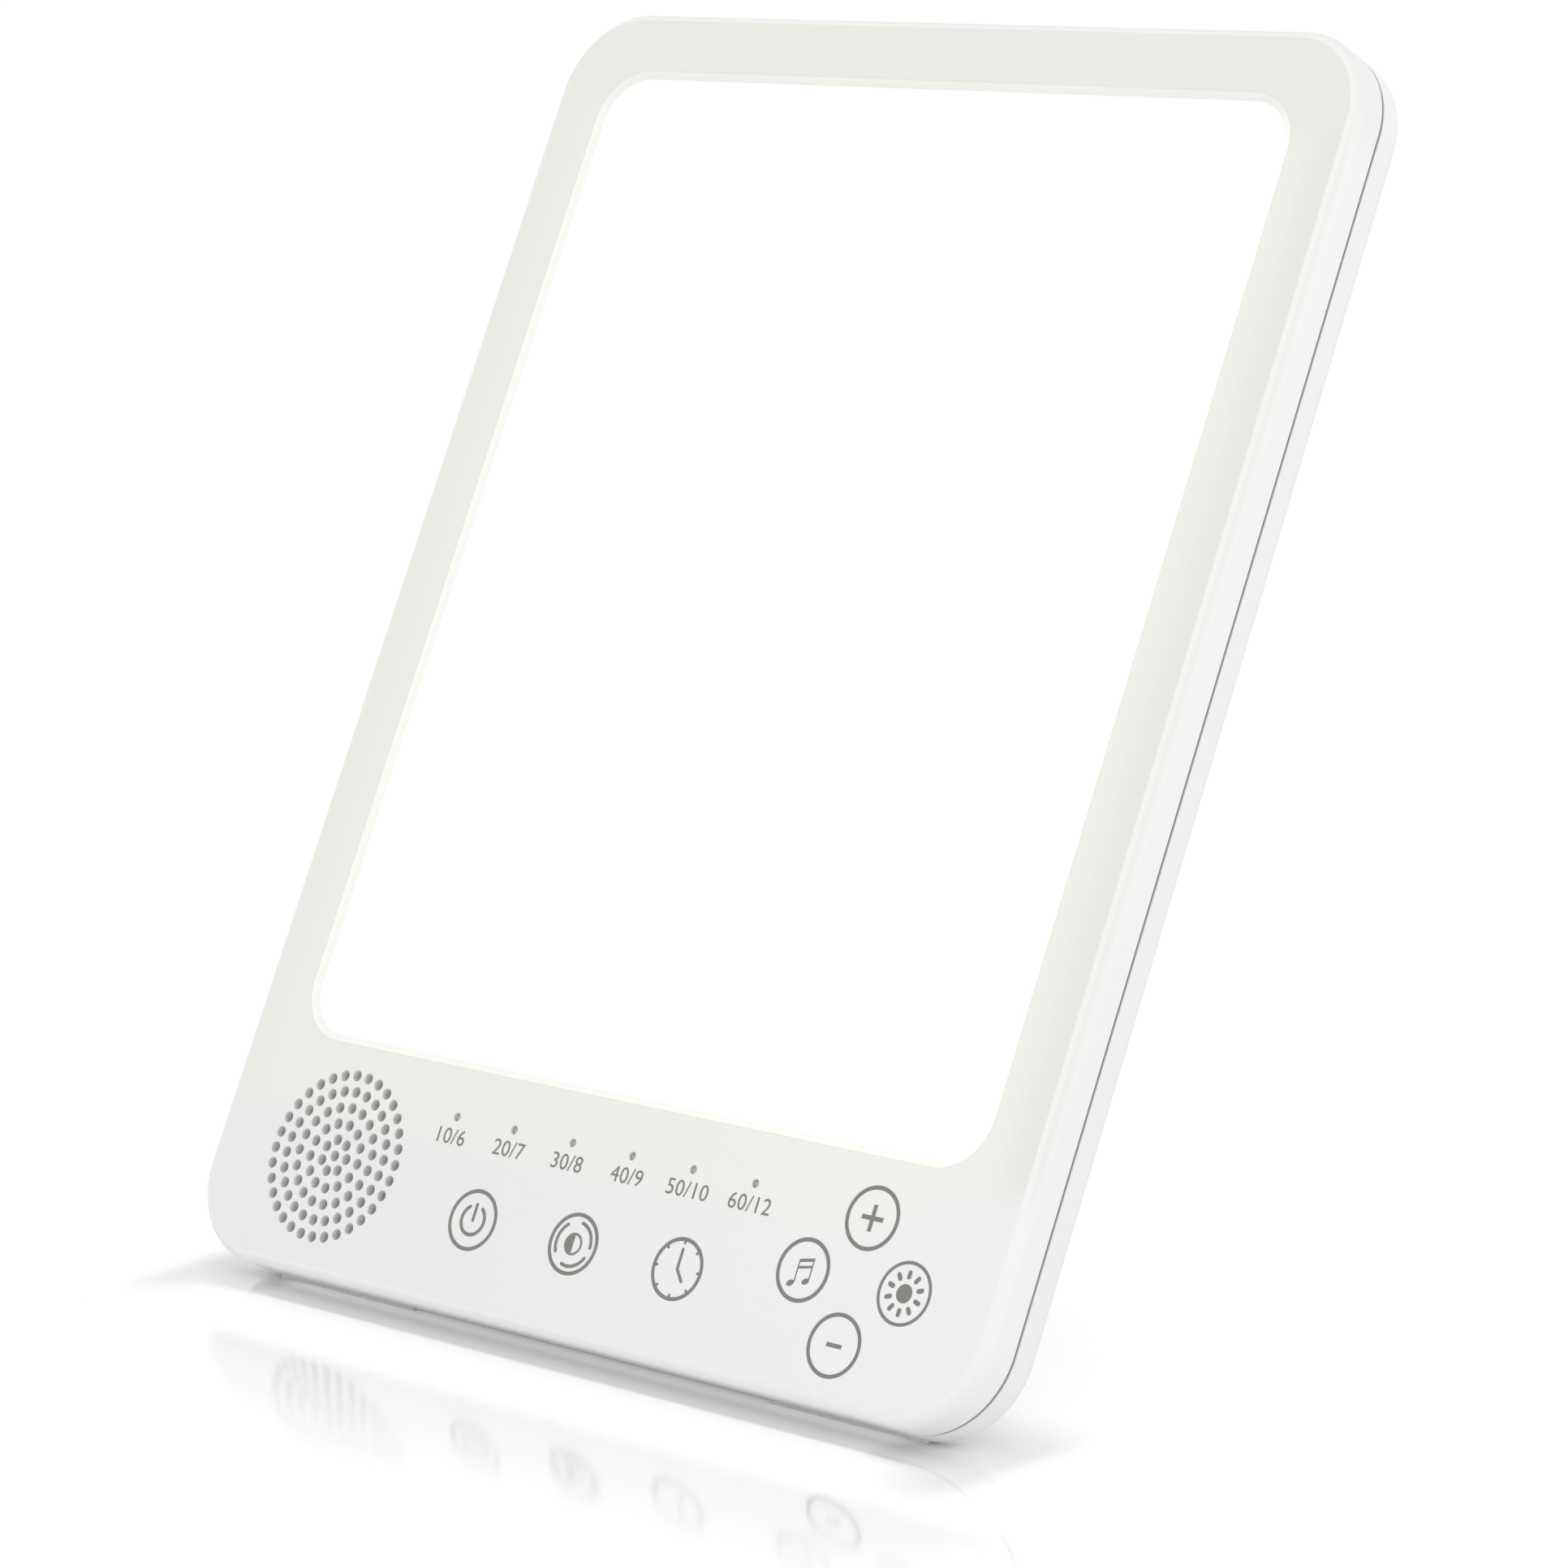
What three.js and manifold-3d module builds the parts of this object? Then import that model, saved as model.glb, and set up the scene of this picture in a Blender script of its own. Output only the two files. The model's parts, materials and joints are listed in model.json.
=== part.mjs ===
// A light therapy lamp: a slim lit panel that leans back on a fold-out leg.
// Millimetres, +Z up. The panel faces -Y, and the lamp stands on the plane Z = 0.
//
// The panel is drawn upright in its own frame: X to the right, Y back from the front face,
// Z up from the lower edge. At the end it is leaned back and set on the floor.
import * as THREE from "three";
import { mergeVertices } from "three/addons/utils/BufferGeometryUtils.js";
import Module from "manifold-3d";

const wasm = await Module();
wasm.setup();

// Posture
const leanAngle = THREE.MathUtils.degToRad(26.4);
const legOpenAngle = THREE.MathUtils.degToRad(36);

// Fits
const clearance = 0.3;
const overrun = 1;

// Case
const caseWidth = 180.5;
const caseHeight = 241.5;
const cornerRadius = 16;
const frontEdgeRadius = 1.8;
const rearEdgeRadius = 3.6;
const frontWall = 2;
const sideWall = 1.8;
const rearWall = 2;
const bezelDepth = 7.4;
const tongueWall = 1.2;
const tongueHeight = 1.5;
const shoulderHeight = 1.5;

// Window
const topBorder = 11.85;
const windowRadius = 10;
const lipRun = 1.5;
const lipDepth = 1.15;
const ledgeWidth = 0.85;

// Light stack, from front to back
const diffuserThickness = 1.5;
const flangeOverlap = 3;
const guideThickness = 2.5;
const guideOverlap = 1.4;
const reflectorThickness = 0.4;
const plateThickness = 1;
const plateMargin = 1;
const stripThickness = 1;
const chipHeight = 1;
const chipLength = 3;
const chipCount = 14;

// Screws
const shankRadius = 0.9;
const headRadius = 1.7;
const headHeight = 1.2;
const caseScrewLength = 6.5;
const smallScrewLength = 3.2;
const holeFloor = 1;

// Bosses and posts
const bossRadius = 2.6;
const postRadius = 2;
const wellWall = 1.2;
const wellDepth = 2.8;

// Control board
const boardFront = 5;
const boardThickness = 1.2;
const boardRise = 6.05;
const boardTopGap = 3;
const boardSideGap = 1.2;
const boardSpeakerGap = 2.5;
const boardHoleInset = 3;

// Touch keys
const padRadius = 4.2;
const padThickness = 0.5;
const padStemRadius = 1.2;
const mainKeyRise = 16.25;
const mainKeyShare = 0.57805;
const clusterRadius = 10.7;
const clusterSideGap = 6.3;
const clusterBottomGap = 4.15;

// Indicators
const indicatorCount = 6;
const indicatorEndGap = 6.5;
const indicatorTopGap = 5.05;
const indicatorHoleRadius = 0.75;
const pipeClearance = 0.15;
const pipeSetback = 0.4;
const pipeFlangeRadius = 1.3;
const pipeFlangeThickness = 0.8;
const indicatorChipHeight = 0.6;
const indicatorChipWidth = 1.6;

// Loudspeaker
const speakerRadius = 16.5;
const speakerSideGap = 10.1;
const speakerBottomGap = 1.45;
const speakerTopGap = 2.95;
const clothThickness = 0.3;
const rimThickness = 1.2;
const rimWidth = 2;
const basketDepth = 4.5;
const basketWall = 0.9;
const seatRadius = 8.8;
const seatHoleRadius = 5.6;
const coneWall = 0.5;
const coilRadius = 4.9;
const coneTravel = 0.5;
const magnetOverhang = 0.2;
const magnetRearGap = 0.9;
const earWidth = 4.8;
const earReach = 2.9;

// Grille: holes on five rings round a centre hole
const grillePitch = 2.95;
const grilleHoleRadius = 1;
const grilleCounts = [7, 13, 19, 26, 32];
const grilleTurnShares = [-0.0083, -0.0139, -0.0222, -0.0222, 0.0083];

// Power inlet
const inletNotchGap = 3;
const inletRise = 30.55;
const inletBodyWidth = 7;
const inletBodyHeight = 8;
const inletNoseRadius = 3.4;
const inletBoreRadius = 1.95;
const inletPinRadius = 0.65;
const inletFloor = 1;
const inletSetback = 0.3;
const inletPinSetback = 1;

// Board components
const chipThickness = 1.1;
const touchChipSize = 7;
const driverChipSize = 5;
const coilHeight = 3.4;
const coilBodyRadius = 4;
const capacitorRadius = 3;
const capacitorHeight = 4.5;

// Leg
const hingeRise = 131.05;
const legWidth = 46;
const legThickness = 4;
const legClearance = 0.4;
const legInset = 0.3;
const legCornerRadius = 5;
const heelHeight = 3;
const recessEndGap = 0.5;
const trayWall = 1.4;
const shoeHeight = 4;
const panelMargin = 5;
const panelDepth = 0.6;
const washerThickness = 0.5;
const washerRadius = 1.5;
const pinRadius = 0.75;
const pinClearance = 0.15;
const pinReach = 5;
const earLength = 6;
const notchRise = 29.05;
const notchHeight = 18;
const notchReach = 8;
const notchDepth = 2.6;

// Feet
const footWidth = 34;
const footDepth = 3;
const footHeight = 2.2;
const footProud = 0.25;
const footCornerOverlap = 1;

// Ribs that press the back plate forwards
const ribThickness = 1.4;
const ribAcross = 50;
const ribCrossRise = 180;

// Leads
const leadRadius = 0.45;
const leadDrop = 3.9;
const leadTrayGap = 8.5;

// Smoothness
const cornerSteps = 8;
const edgeSteps = 4;
const roundSides = 24;
const smallSides = 10;
const grilleSides = 6;
const leadSides = 6;
const leadSteps = 12;
const weldDistance = 1e-4;
const sharpRadius = 0.0024;

// The stack of layers gives the depth of the case
const flangeFront = frontWall + clearance;
const flangeBack = flangeFront + diffuserThickness;
const guideFront = flangeBack + clearance;
const guideBack = guideFront + guideThickness;
const reflectorFront = guideBack + clearance;
const plateFront = reflectorFront + reflectorThickness + clearance;
const plateBack = plateFront + plateThickness;
const trayInner = plateBack + clearance;
const recessFloor = trayInner + trayWall;
const caseDepth = recessFloor + legClearance + legThickness + legInset;
const rearInner = caseDepth - rearWall;
const coverFront = bezelDepth + clearance;
const shoulderBack = coverFront + shoulderHeight;

// The side of the case, from the outer wall inwards, gives the border of the window
const tongueInset = sideWall + clearance;
const innerInset = tongueInset + tongueWall;
const bossInset = innerInset + clearance + bossRadius;
const plateInset = bossInset + bossRadius + clearance;
const stripInset = plateInset + plateThickness + clearance;
const chipInset = stripInset + stripThickness;
const guideInset = chipInset + chipHeight + clearance;
const openingInset = guideInset + guideOverlap;
const lipWidth = lipRun + ledgeWidth;

// The loudspeaker's size gives the height of the strip below the window
const speakerX = -caseWidth / 2 + innerInset + speakerSideGap + clearance + speakerRadius;
const speakerZ = innerInset + speakerBottomGap + clearance + speakerRadius;
const openingBottom = speakerZ + speakerRadius + speakerTopGap + flangeOverlap;
const openingTop = caseHeight - topBorder - lipWidth;

const caseBox = {
  left: -caseWidth / 2,
  right: caseWidth / 2,
  bottom: 0,
  top: caseHeight,
  radius: cornerRadius,
};
const openingBox = {
  left: caseBox.left + openingInset,
  right: caseBox.right - openingInset,
  bottom: openingBottom,
  top: openingTop,
  radius: windowRadius - lipWidth,
};
const plateBox = {
  left: caseBox.left + plateInset,
  right: caseBox.right - plateInset,
  bottom: openingBottom - guideOverlap - plateMargin,
  top: openingTop + guideOverlap + plateMargin,
  radius: plateMargin,
};
const guideBox = {
  left: caseBox.left + guideInset,
  right: caseBox.right - guideInset,
  bottom: openingBottom - guideOverlap,
  top: openingTop + guideOverlap,
  radius: plateMargin,
};
const boardBox = {
  left: speakerX + speakerRadius + boardSpeakerGap,
  right: caseBox.right - bossInset - bossRadius - boardSideGap,
  bottom: boardRise,
  top: openingBottom - flangeOverlap - boardTopGap,
  radius: plateMargin,
};
const boardBack = boardFront + boardThickness;
const partsFront = boardBack + clearance;

// The leg's pivot, and where the floor lies, seen in the panel's frame
const pivotY = recessFloor + legClearance + legThickness / 2;
const pivotZ = hingeRise;
const heightOf = (y, z) => z * Math.cos(leanAngle) - y * Math.sin(leanAngle);
const edgeCentreY = caseDepth - rearEdgeRadius;
const edgeCentreZ = rearEdgeRadius;
const floorHeight = heightOf(edgeCentreY, edgeCentreZ) - rearEdgeRadius - footProud;
const pivotHeight = heightOf(pivotY, pivotZ) - floorHeight;
const legTilt = legOpenAngle - leanAngle;
const heelReach = Math.hypot(legThickness / 2, heelHeight);
const legReach = (pivotHeight + (legThickness / 2) * Math.sin(legTilt)) / Math.cos(legTilt);
const washerGap = washerThickness + 2 * clearance;
const recessBox = {
  left: -legWidth / 2 - washerGap,
  right: legWidth / 2 + washerGap,
  bottom: pivotZ - legReach - recessEndGap,
  top: pivotZ + heelReach + recessEndGap,
  radius: legCornerRadius + recessEndGap,
};

// Turns a three.js geometry into a closed solid
function solidOf(geometry) {
  const loose = geometry.index ? geometry.toNonIndexed() : geometry.clone();
  const bare = new THREE.BufferGeometry();
  bare.setAttribute("position", loose.getAttribute("position"));
  const welded = mergeVertices(bare, weldDistance);
  const corners = welded.index.array;
  const kept = [];
  for (let i = 0; i < corners.length; i += 3) {
    const [a, b, c] = corners.slice(i, i + 3);
    if (a !== b && b !== c && c !== a) kept.push(a, b, c);
  }
  return new wasm.Manifold(
    new wasm.Mesh({
      numProp: 3,
      vertProperties: welded.attributes.position.array,
      triVerts: new Uint32Array(kept),
    }),
  );
}

const join = (...solids) => solids.reduce((whole, next) => whole.add(next));
const cut = (solid, ...tools) => tools.reduce((rest, tool) => rest.subtract(tool), solid);

const insetBox = (box, by) => ({
  left: box.left + by,
  right: box.right - by,
  bottom: box.bottom + by,
  top: box.top - by,
  radius: Math.max(box.radius - by, sharpRadius),
});

// The outline of a box with round corners, anticlockwise from its lower right corner
function outlineOf({ left, right, bottom, top, radius, topRadius = radius }) {
  const corners = [
    [right - radius, bottom + radius, radius],
    [right - topRadius, top - topRadius, topRadius],
    [left + topRadius, top - topRadius, topRadius],
    [left + radius, bottom + radius, radius],
  ];
  return corners.flatMap(([x, z, reach], quarter) =>
    Array.from({ length: cornerSteps + 1 }, (_, step) => {
      const turn = (Math.PI / 2) * (quarter - 1 + step / cornerSteps);
      return new THREE.Vector2(x + reach * Math.cos(turn), z + reach * Math.sin(turn));
    }),
  );
}

// Joins rounded boxes at growing depths into one closed skin
function loft(rings) {
  const outlines = rings.map(({ box, depth }) =>
    outlineOf(box).map((p) => new THREE.Vector3(p.x, depth, p.y)),
  );
  const count = outlines[0].length;
  const points = [];
  const face = (a, b, c) => points.push(a, b, c);
  const middle = (outline) =>
    outline.reduce((sum, p) => sum.add(p), new THREE.Vector3()).divideScalar(count);
  const first = outlines[0];
  const last = outlines[outlines.length - 1];
  for (let i = 0; i < count; i += 1) {
    const next = (i + 1) % count;
    face(middle(first), first[i], first[next]);
    face(middle(last), last[next], last[i]);
    for (let k = 0; k + 1 < outlines.length; k += 1) {
      const [near, far] = [outlines[k], outlines[k + 1]];
      face(near[i], far[i], near[next]);
      face(near[next], far[i], far[next]);
    }
  }
  return solidOf(new THREE.BufferGeometry().setFromPoints(points));
}

// The rings of a rounded edge, from the flat face to the full outline
const roundedEdge = (box, radius, face, inwards) =>
  Array.from({ length: edgeSteps + 1 }, (_, step) => {
    const turn = ((Math.PI / 2) * step) / edgeSteps;
    return {
      box: insetBox(box, radius * (1 - Math.sin(turn))),
      depth: face + inwards * radius * (1 - Math.cos(turn)),
    };
  });

// A flat piece of a rounded box's outline, from one depth to another
const slab = (box, front, back) =>
  loft([
    { box, depth: front },
    { box, depth: back },
  ]);

// The same with square upper corners
const squareTopped = (box, front, back) => slab({ ...box, topRadius: 0 }, front, back);

const boxAround = (x, z, width, height, radius) => ({
  left: x - width / 2,
  right: x + width / 2,
  bottom: z - height / 2,
  top: z + height / 2,
  radius,
});

const block = (x, z, width, height, front, back) =>
  solidOf(
    new THREE.BoxGeometry(width, back - front, height).translate(x, (front + back) / 2, z),
  );

// A round bar along the depth
const round = (x, z, radius, front, back, sides = roundSides) =>
  solidOf(
    new THREE.CylinderGeometry(radius, radius, back - front, sides).translate(
      x,
      (front + back) / 2,
      z,
    ),
  );

// A turned piece: the profile's points are radius and depth
const turned = (profile, x, z, sides = roundSides) =>
  solidOf(
    new THREE.LatheGeometry(
      profile.map(([radius, depth]) => new THREE.Vector2(radius, depth)),
      sides,
    ).translate(x, 0, z),
  );

// A section drawn in depth and height, carried across the width
function across(points, left, right) {
  const shape = new THREE.Shape(points.map(([y, z]) => new THREE.Vector2(y, z)));
  const basis = new THREE.Matrix4().makeBasis(
    new THREE.Vector3(0, 1, 0),
    new THREE.Vector3(0, 0, 1),
    new THREE.Vector3(1, 0, 0),
  );
  return solidOf(
    new THREE.ExtrudeGeometry(shape, { depth: right - left, bevelEnabled: false })
      .applyMatrix4(basis)
      .translate(left, 0, 0),
  );
}

// A round bar along the width
const axle = (y, z, radius, left, right) =>
  solidOf(
    new THREE.CylinderGeometry(radius, radius, right - left, smallSides)
      .rotateZ(Math.PI / 2)
      .translate((left + right) / 2, y, z),
  );

// Where things stand
const bossHeights = [cornerRadius, caseHeight / 2, caseHeight - cornerRadius];
const bossPlaces = [-1, 1].flatMap((side) =>
  bossHeights.map((z) => [side * (caseBox.right - bossInset), z]),
);
const boardPosts = [
  [boardBox.left + boardHoleInset, boardBox.bottom + boardHoleInset],
  [boardBox.left + boardHoleInset, boardBox.top - boardHoleInset],
  [boardBox.right - boardHoleInset, boardBox.bottom + boardHoleInset],
  [boardBox.right - boardHoleInset, boardBox.top - boardHoleInset],
];
const earOffset = (speakerRadius + earReach) * Math.SQRT1_2;
const speakerPosts = [
  [speakerX - earOffset, speakerZ - earOffset],
  [speakerX + earOffset, speakerZ + earOffset],
];
const boardReach = -boardBox.left;
const mainKeyX = mainKeyShare * boardReach;
const bossSide = caseBox.right - bossInset - bossRadius;
const clusterX = bossSide - clusterSideGap - padRadius - clusterRadius;
const clusterZ = sideWall + clusterBottomGap + padRadius + clusterRadius;
const keyPlaces = {
  power: [-mainKeyX, mainKeyRise],
  colour: [0, mainKeyRise],
  timer: [mainKeyX, mainKeyRise],
  sound: [clusterX - clusterRadius, clusterZ],
  brightness: [clusterX + clusterRadius, clusterZ],
  plus: [clusterX, clusterZ + clusterRadius],
  minus: [clusterX, clusterZ - clusterRadius],
};
const indicatorPlaces = Array.from({ length: indicatorCount }, (_, i) => [
  (boardReach - indicatorEndGap) * ((2 * i) / (indicatorCount - 1) - 1),
  boardBox.top - indicatorTopGap,
]);
const inletX =
  recessBox.right + notchReach + trayWall + inletNotchGap + inletBodyWidth / 2;
const footX = caseBox.right - cornerRadius + footCornerOverlap - footWidth / 2;

// Depths of the loudspeaker's pieces
const clothFront = frontWall + clearance;
const rimFront = clothFront + clothThickness + clearance;
const seatBack = rimFront + basketDepth;
const magnetFront = seatBack + clearance;
const earBack = rimFront + rimThickness;

// Depths of the screw wells in the cover
const wellFloor = caseDepth - wellDepth;
const wellFront = wellFloor - wellWall;
const bossBack = wellFront - clearance;
const bossHoleFront = wellFloor - caseScrewLength - holeFloor;

// The front half of the shell, with its window, grille, bosses and posts
function frontBezel() {
  const outer = loft([
    ...roundedEdge(caseBox, frontEdgeRadius, 0, 1),
    { box: caseBox, depth: bezelDepth },
  ]);
  const hollow = slab(insetBox(caseBox, sideWall), frontWall, bezelDepth + overrun);
  const windowBox = insetBox(openingBox, -lipWidth);
  const bevel = loft([
    { box: windowBox, depth: -overrun },
    { box: windowBox, depth: 0 },
    { box: insetBox(windowBox, lipRun), depth: lipDepth },
  ]);
  const opening = slab(openingBox, -overrun, frontWall + overrun);
  const shell = cut(outer, hollow, bevel, opening);

  const root = frontWall - clearance;
  const bosses = bossPlaces.map(([x, z]) => round(x, z, bossRadius, root, bossBack, smallSides));
  const postBack = boardFront - clearance;
  const posts = boardPosts.map(([x, z]) => round(x, z, postRadius, root, postBack, smallSides));
  const speakerStands = speakerPosts.map(([x, z]) =>
    round(x, z, postRadius, root, rimFront - clearance, smallSides),
  );
  const body = join(shell, ...bosses, ...posts, ...speakerStands);

  const holeRadius = shankRadius + clearance;
  const bossHoles = bossPlaces.map(([x, z]) =>
    round(x, z, holeRadius, bossHoleFront, bossBack + overrun, smallSides),
  );
  const postHoles = [...boardPosts, ...speakerPosts].map(([x, z]) =>
    round(x, z, holeRadius, frontWall - holeFloor, bossBack + overrun, smallSides),
  );
  const indicatorHoles = indicatorPlaces.map(([x, z]) =>
    round(x, z, indicatorHoleRadius, -overrun, frontWall + overrun, smallSides),
  );
  return cut(body, ...bossHoles, ...postHoles, ...indicatorHoles, ...grilleHoles());
}

function grilleHoles() {
  const hole = (x, z) =>
    round(x, z, grilleHoleRadius, -overrun, frontWall + overrun, grilleSides);
  const rings = grilleCounts.flatMap((count, ring) =>
    Array.from({ length: count }, (_, i) => {
      const turn = 2 * Math.PI * (grilleTurnShares[ring] + i / count);
      const reach = grillePitch * (ring + 1);
      return hole(speakerX + reach * Math.cos(turn), speakerZ + reach * Math.sin(turn));
    }),
  );
  return [hole(speakerX, speakerZ), ...rings];
}

// The rear half of the shell, with the recess for the leg
function rearCover() {
  const innerRadius = rearEdgeRadius - sideWall;
  const outer = loft([
    { box: caseBox, depth: coverFront },
    ...roundedEdge(caseBox, rearEdgeRadius, caseDepth, -1).reverse(),
  ]);
  const mouth = slab(insetBox(caseBox, innerInset), coverFront - overrun, shoulderBack + clearance);
  const hollow = loft([
    { box: insetBox(caseBox, sideWall), depth: shoulderBack },
    ...roundedEdge(insetBox(caseBox, sideWall), innerRadius, rearInner, -1).reverse(),
  ]);
  const tongue = cut(
    slab(insetBox(caseBox, tongueInset), bezelDepth - tongueHeight, coverFront + clearance),
    slab(insetBox(caseBox, innerInset), bezelDepth - tongueHeight - overrun, coverFront + overrun),
  );
  const tray = squareTopped(insetBox(recessBox, -trayWall), trayInner, rearInner + clearance);
  const ears = [-1, 1].map((side) =>
    block(
      side * (recessBox.right + earLength / 2),
      pivotZ,
      earLength,
      2 * heelReach,
      trayInner,
      rearInner + clearance,
    ),
  );
  const wellRadius = headRadius + clearance + wellWall;
  const wells = bossPlaces.map(([x, z]) =>
    round(x, z, wellRadius, wellFront, rearInner + clearance, smallSides),
  );
  const notch = boxAround(recessBox.right, notchRise, 2 * notchReach, notchHeight, notchReach);
  const notchFloor = caseDepth - notchDepth;
  const notchSeat = slab(insetBox(notch, -trayWall), notchFloor - trayWall, rearInner + clearance);
  const seats = [-1, 1].map((side) => footBlock(side, clearance + trayWall).intersect(outer));
  const ribs = [
    ...[-1, 1].map((side) =>
      block(
        side * ribAcross,
        (ribCrossRise + openingBottom) / 2,
        ribThickness,
        ribCrossRise - openingBottom,
        trayInner,
        rearInner + clearance,
      ),
    ),
    block(
      0,
      ribCrossRise,
      2 * ribAcross + ribThickness,
      ribThickness,
      trayInner,
      rearInner + clearance,
    ),
  ];
  const shell = cut(outer, mouth, hollow);
  const body = join(shell, tongue, tray, notchSeat, ...ears, ...wells, ...seats, ...ribs);

  const screwHoles = bossPlaces.flatMap(([x, z]) => [
    round(x, z, shankRadius + clearance, wellFront - overrun, wellFloor + overrun, smallSides),
    round(x, z, headRadius + clearance, wellFloor, caseDepth + overrun),
  ]);
  const pinHole = axle(
    pivotY,
    pivotZ,
    pinRadius + pinClearance,
    recessBox.left - pinReach - clearance,
    recessBox.right + pinReach + clearance,
  );
  const inletHole = round(
    inletX,
    inletRise,
    inletNoseRadius + clearance,
    rearInner - overrun,
    caseDepth + overrun,
  );
  return cut(
    body,
    squareTopped(recessBox, recessFloor, caseDepth + overrun),
    slab(notch, notchFloor, caseDepth + overrun),
    pinHole,
    inletHole,
    ...screwHoles,
    ...[-1, 1].map((side) => footBlock(side, clearance)),
  );
}

// A foot is a block that lies flat on the floor, let into the lower rear edge.
// A margin makes it larger on every side, for its pocket and for the pocket's wall.
function footBlock(side, margin = 0) {
  const reach = rearEdgeRadius + footProud;
  const geometry = new THREE.BoxGeometry(
    footWidth + 2 * margin,
    footDepth + 2 * margin,
    footHeight + 2 * margin,
  );
  geometry.translate(side * footX, 0, footHeight / 2).rotateX(leanAngle);
  geometry.translate(
    0,
    edgeCentreY + reach * Math.sin(leanAngle),
    edgeCentreZ - reach * Math.cos(leanAngle),
  );
  return solidOf(geometry);
}

// The opal sheet: a flange behind the bezel and a raised middle that fills the window
function diffuserPanel() {
  return join(
    slab(insetBox(openingBox, -flangeOverlap), flangeFront, flangeBack),
    slab(insetBox(openingBox, clearance), lipDepth, flangeBack),
  );
}

// The aluminium tray behind the light guide, with a flange up each side for the LED strips
function backPlate() {
  const height = plateBox.top - plateBox.bottom;
  const middle = (plateBox.top + plateBox.bottom) / 2;
  const flanges = [-1, 1].map((side) =>
    block(
      side * (plateBox.right - plateThickness / 2),
      middle,
      plateThickness,
      height - 2 * plateMargin,
      guideFront,
      plateFront + clearance,
    ),
  );
  return join(slab(plateBox, plateFront, plateBack), ...flanges);
}

// A row of LED chips on a narrow board that faces the edge of the light guide
function ledStrip(side) {
  const bottom = guideBox.bottom + plateMargin;
  const top = guideBox.top - plateMargin;
  const back = caseBox.right - stripInset;
  const face = back - stripThickness;
  const depthBack = reflectorFront;
  const board = block(
    side * (back - stripThickness / 2),
    (bottom + top) / 2,
    stripThickness,
    top - bottom,
    guideFront,
    depthBack,
  );
  const pitch = (top - bottom) / chipCount;
  const chips = Array.from({ length: chipCount }, (_, i) =>
    block(
      side * (face - chipHeight / 2 + clearance / 2),
      bottom + (i + 1 / 2) * pitch,
      chipHeight + clearance,
      chipLength,
      guideFront + clearance,
      guideBack,
    ),
  );
  return join(board, ...chips);
}

// The control board, with a small LED under each indicator
function controlBoard() {
  const sheet = slab(boardBox, boardFront, boardBack);
  const leds = indicatorPlaces.map(([x, z]) =>
    block(
      x,
      z,
      indicatorChipWidth,
      indicatorChipWidth / 2,
      boardFront - indicatorChipHeight,
      boardFront + clearance,
    ),
  );
  const holes = boardPosts.map(([x, z]) =>
    round(x, z, shankRadius + clearance, boardFront - overrun, boardBack + overrun, smallSides),
  );
  return cut(join(sheet, ...leds), ...holes);
}

// A touch pad: a disc against the bezel on a spring stem that stands on the board
const touchPad = ([x, z]) =>
  turned(
    [
      [0, frontWall + clearance],
      [padRadius, frontWall + clearance],
      [padRadius, frontWall + clearance + padThickness],
      [padStemRadius, frontWall + clearance + 2 * padThickness],
      [padStemRadius, boardFront - clearance],
      [0, boardFront - clearance],
    ],
    x,
    z,
    smallSides,
  );

// A light pipe: a thin tip in the bezel's hole, on a flange behind it
function lightPipe([x, z]) {
  const tip = indicatorHoleRadius - pipeClearance;
  const flange = frontWall + clearance;
  return turned(
    [
      [0, pipeSetback],
      [tip, pipeSetback],
      [tip, flange],
      [pipeFlangeRadius, flange],
      [pipeFlangeRadius, flange + pipeFlangeThickness],
      [tip, flange + pipeFlangeThickness],
      [tip, boardFront - indicatorChipHeight - clearance],
      [0, boardFront - indicatorChipHeight - clearance],
    ],
    x,
    z,
    smallSides,
  );
}

// The loudspeaker's frame: a rim with two screw ears and a basket that narrows to the magnet's seat
function speakerFrame() {
  const rimInner = speakerRadius - rimWidth;
  const basket = turned(
    [
      [seatHoleRadius, seatBack],
      [seatHoleRadius, seatBack - basketWall],
      [seatRadius + basketWall, seatBack - basketWall],
      [rimInner - basketWall, rimFront],
      [speakerRadius, rimFront],
      [speakerRadius, earBack],
      [rimInner, earBack],
      [seatRadius + 2 * basketWall, seatBack],
      [seatHoleRadius, seatBack],
    ],
    speakerX,
    speakerZ,
  );
  const hole = round(
    speakerX,
    speakerZ,
    rimInner - basketWall + clearance,
    rimFront - overrun,
    earBack + overrun,
  );
  const ears = speakerPosts.map(([x, z]) => {
    const arm = new THREE.BoxGeometry(earWidth, rimThickness, earReach + rimWidth);
    arm.rotateY(Math.PI / 4);
    const inwards = ((earReach + rimWidth) / 2) * Math.SQRT1_2 * Math.sign(x - speakerX);
    arm.translate(x - inwards, rimFront + rimThickness / 2, z - inwards);
    return join(round(x, z, earWidth / 2, rimFront, earBack, smallSides), solidOf(arm));
  });
  const holes = speakerPosts.map(([x, z]) =>
    round(x, z, shankRadius + clearance, rimFront - overrun, earBack + overrun, smallSides),
  );
  return cut(join(basket, ...ears.map((ear) => cut(ear, hole))), ...holes);
}

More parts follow.
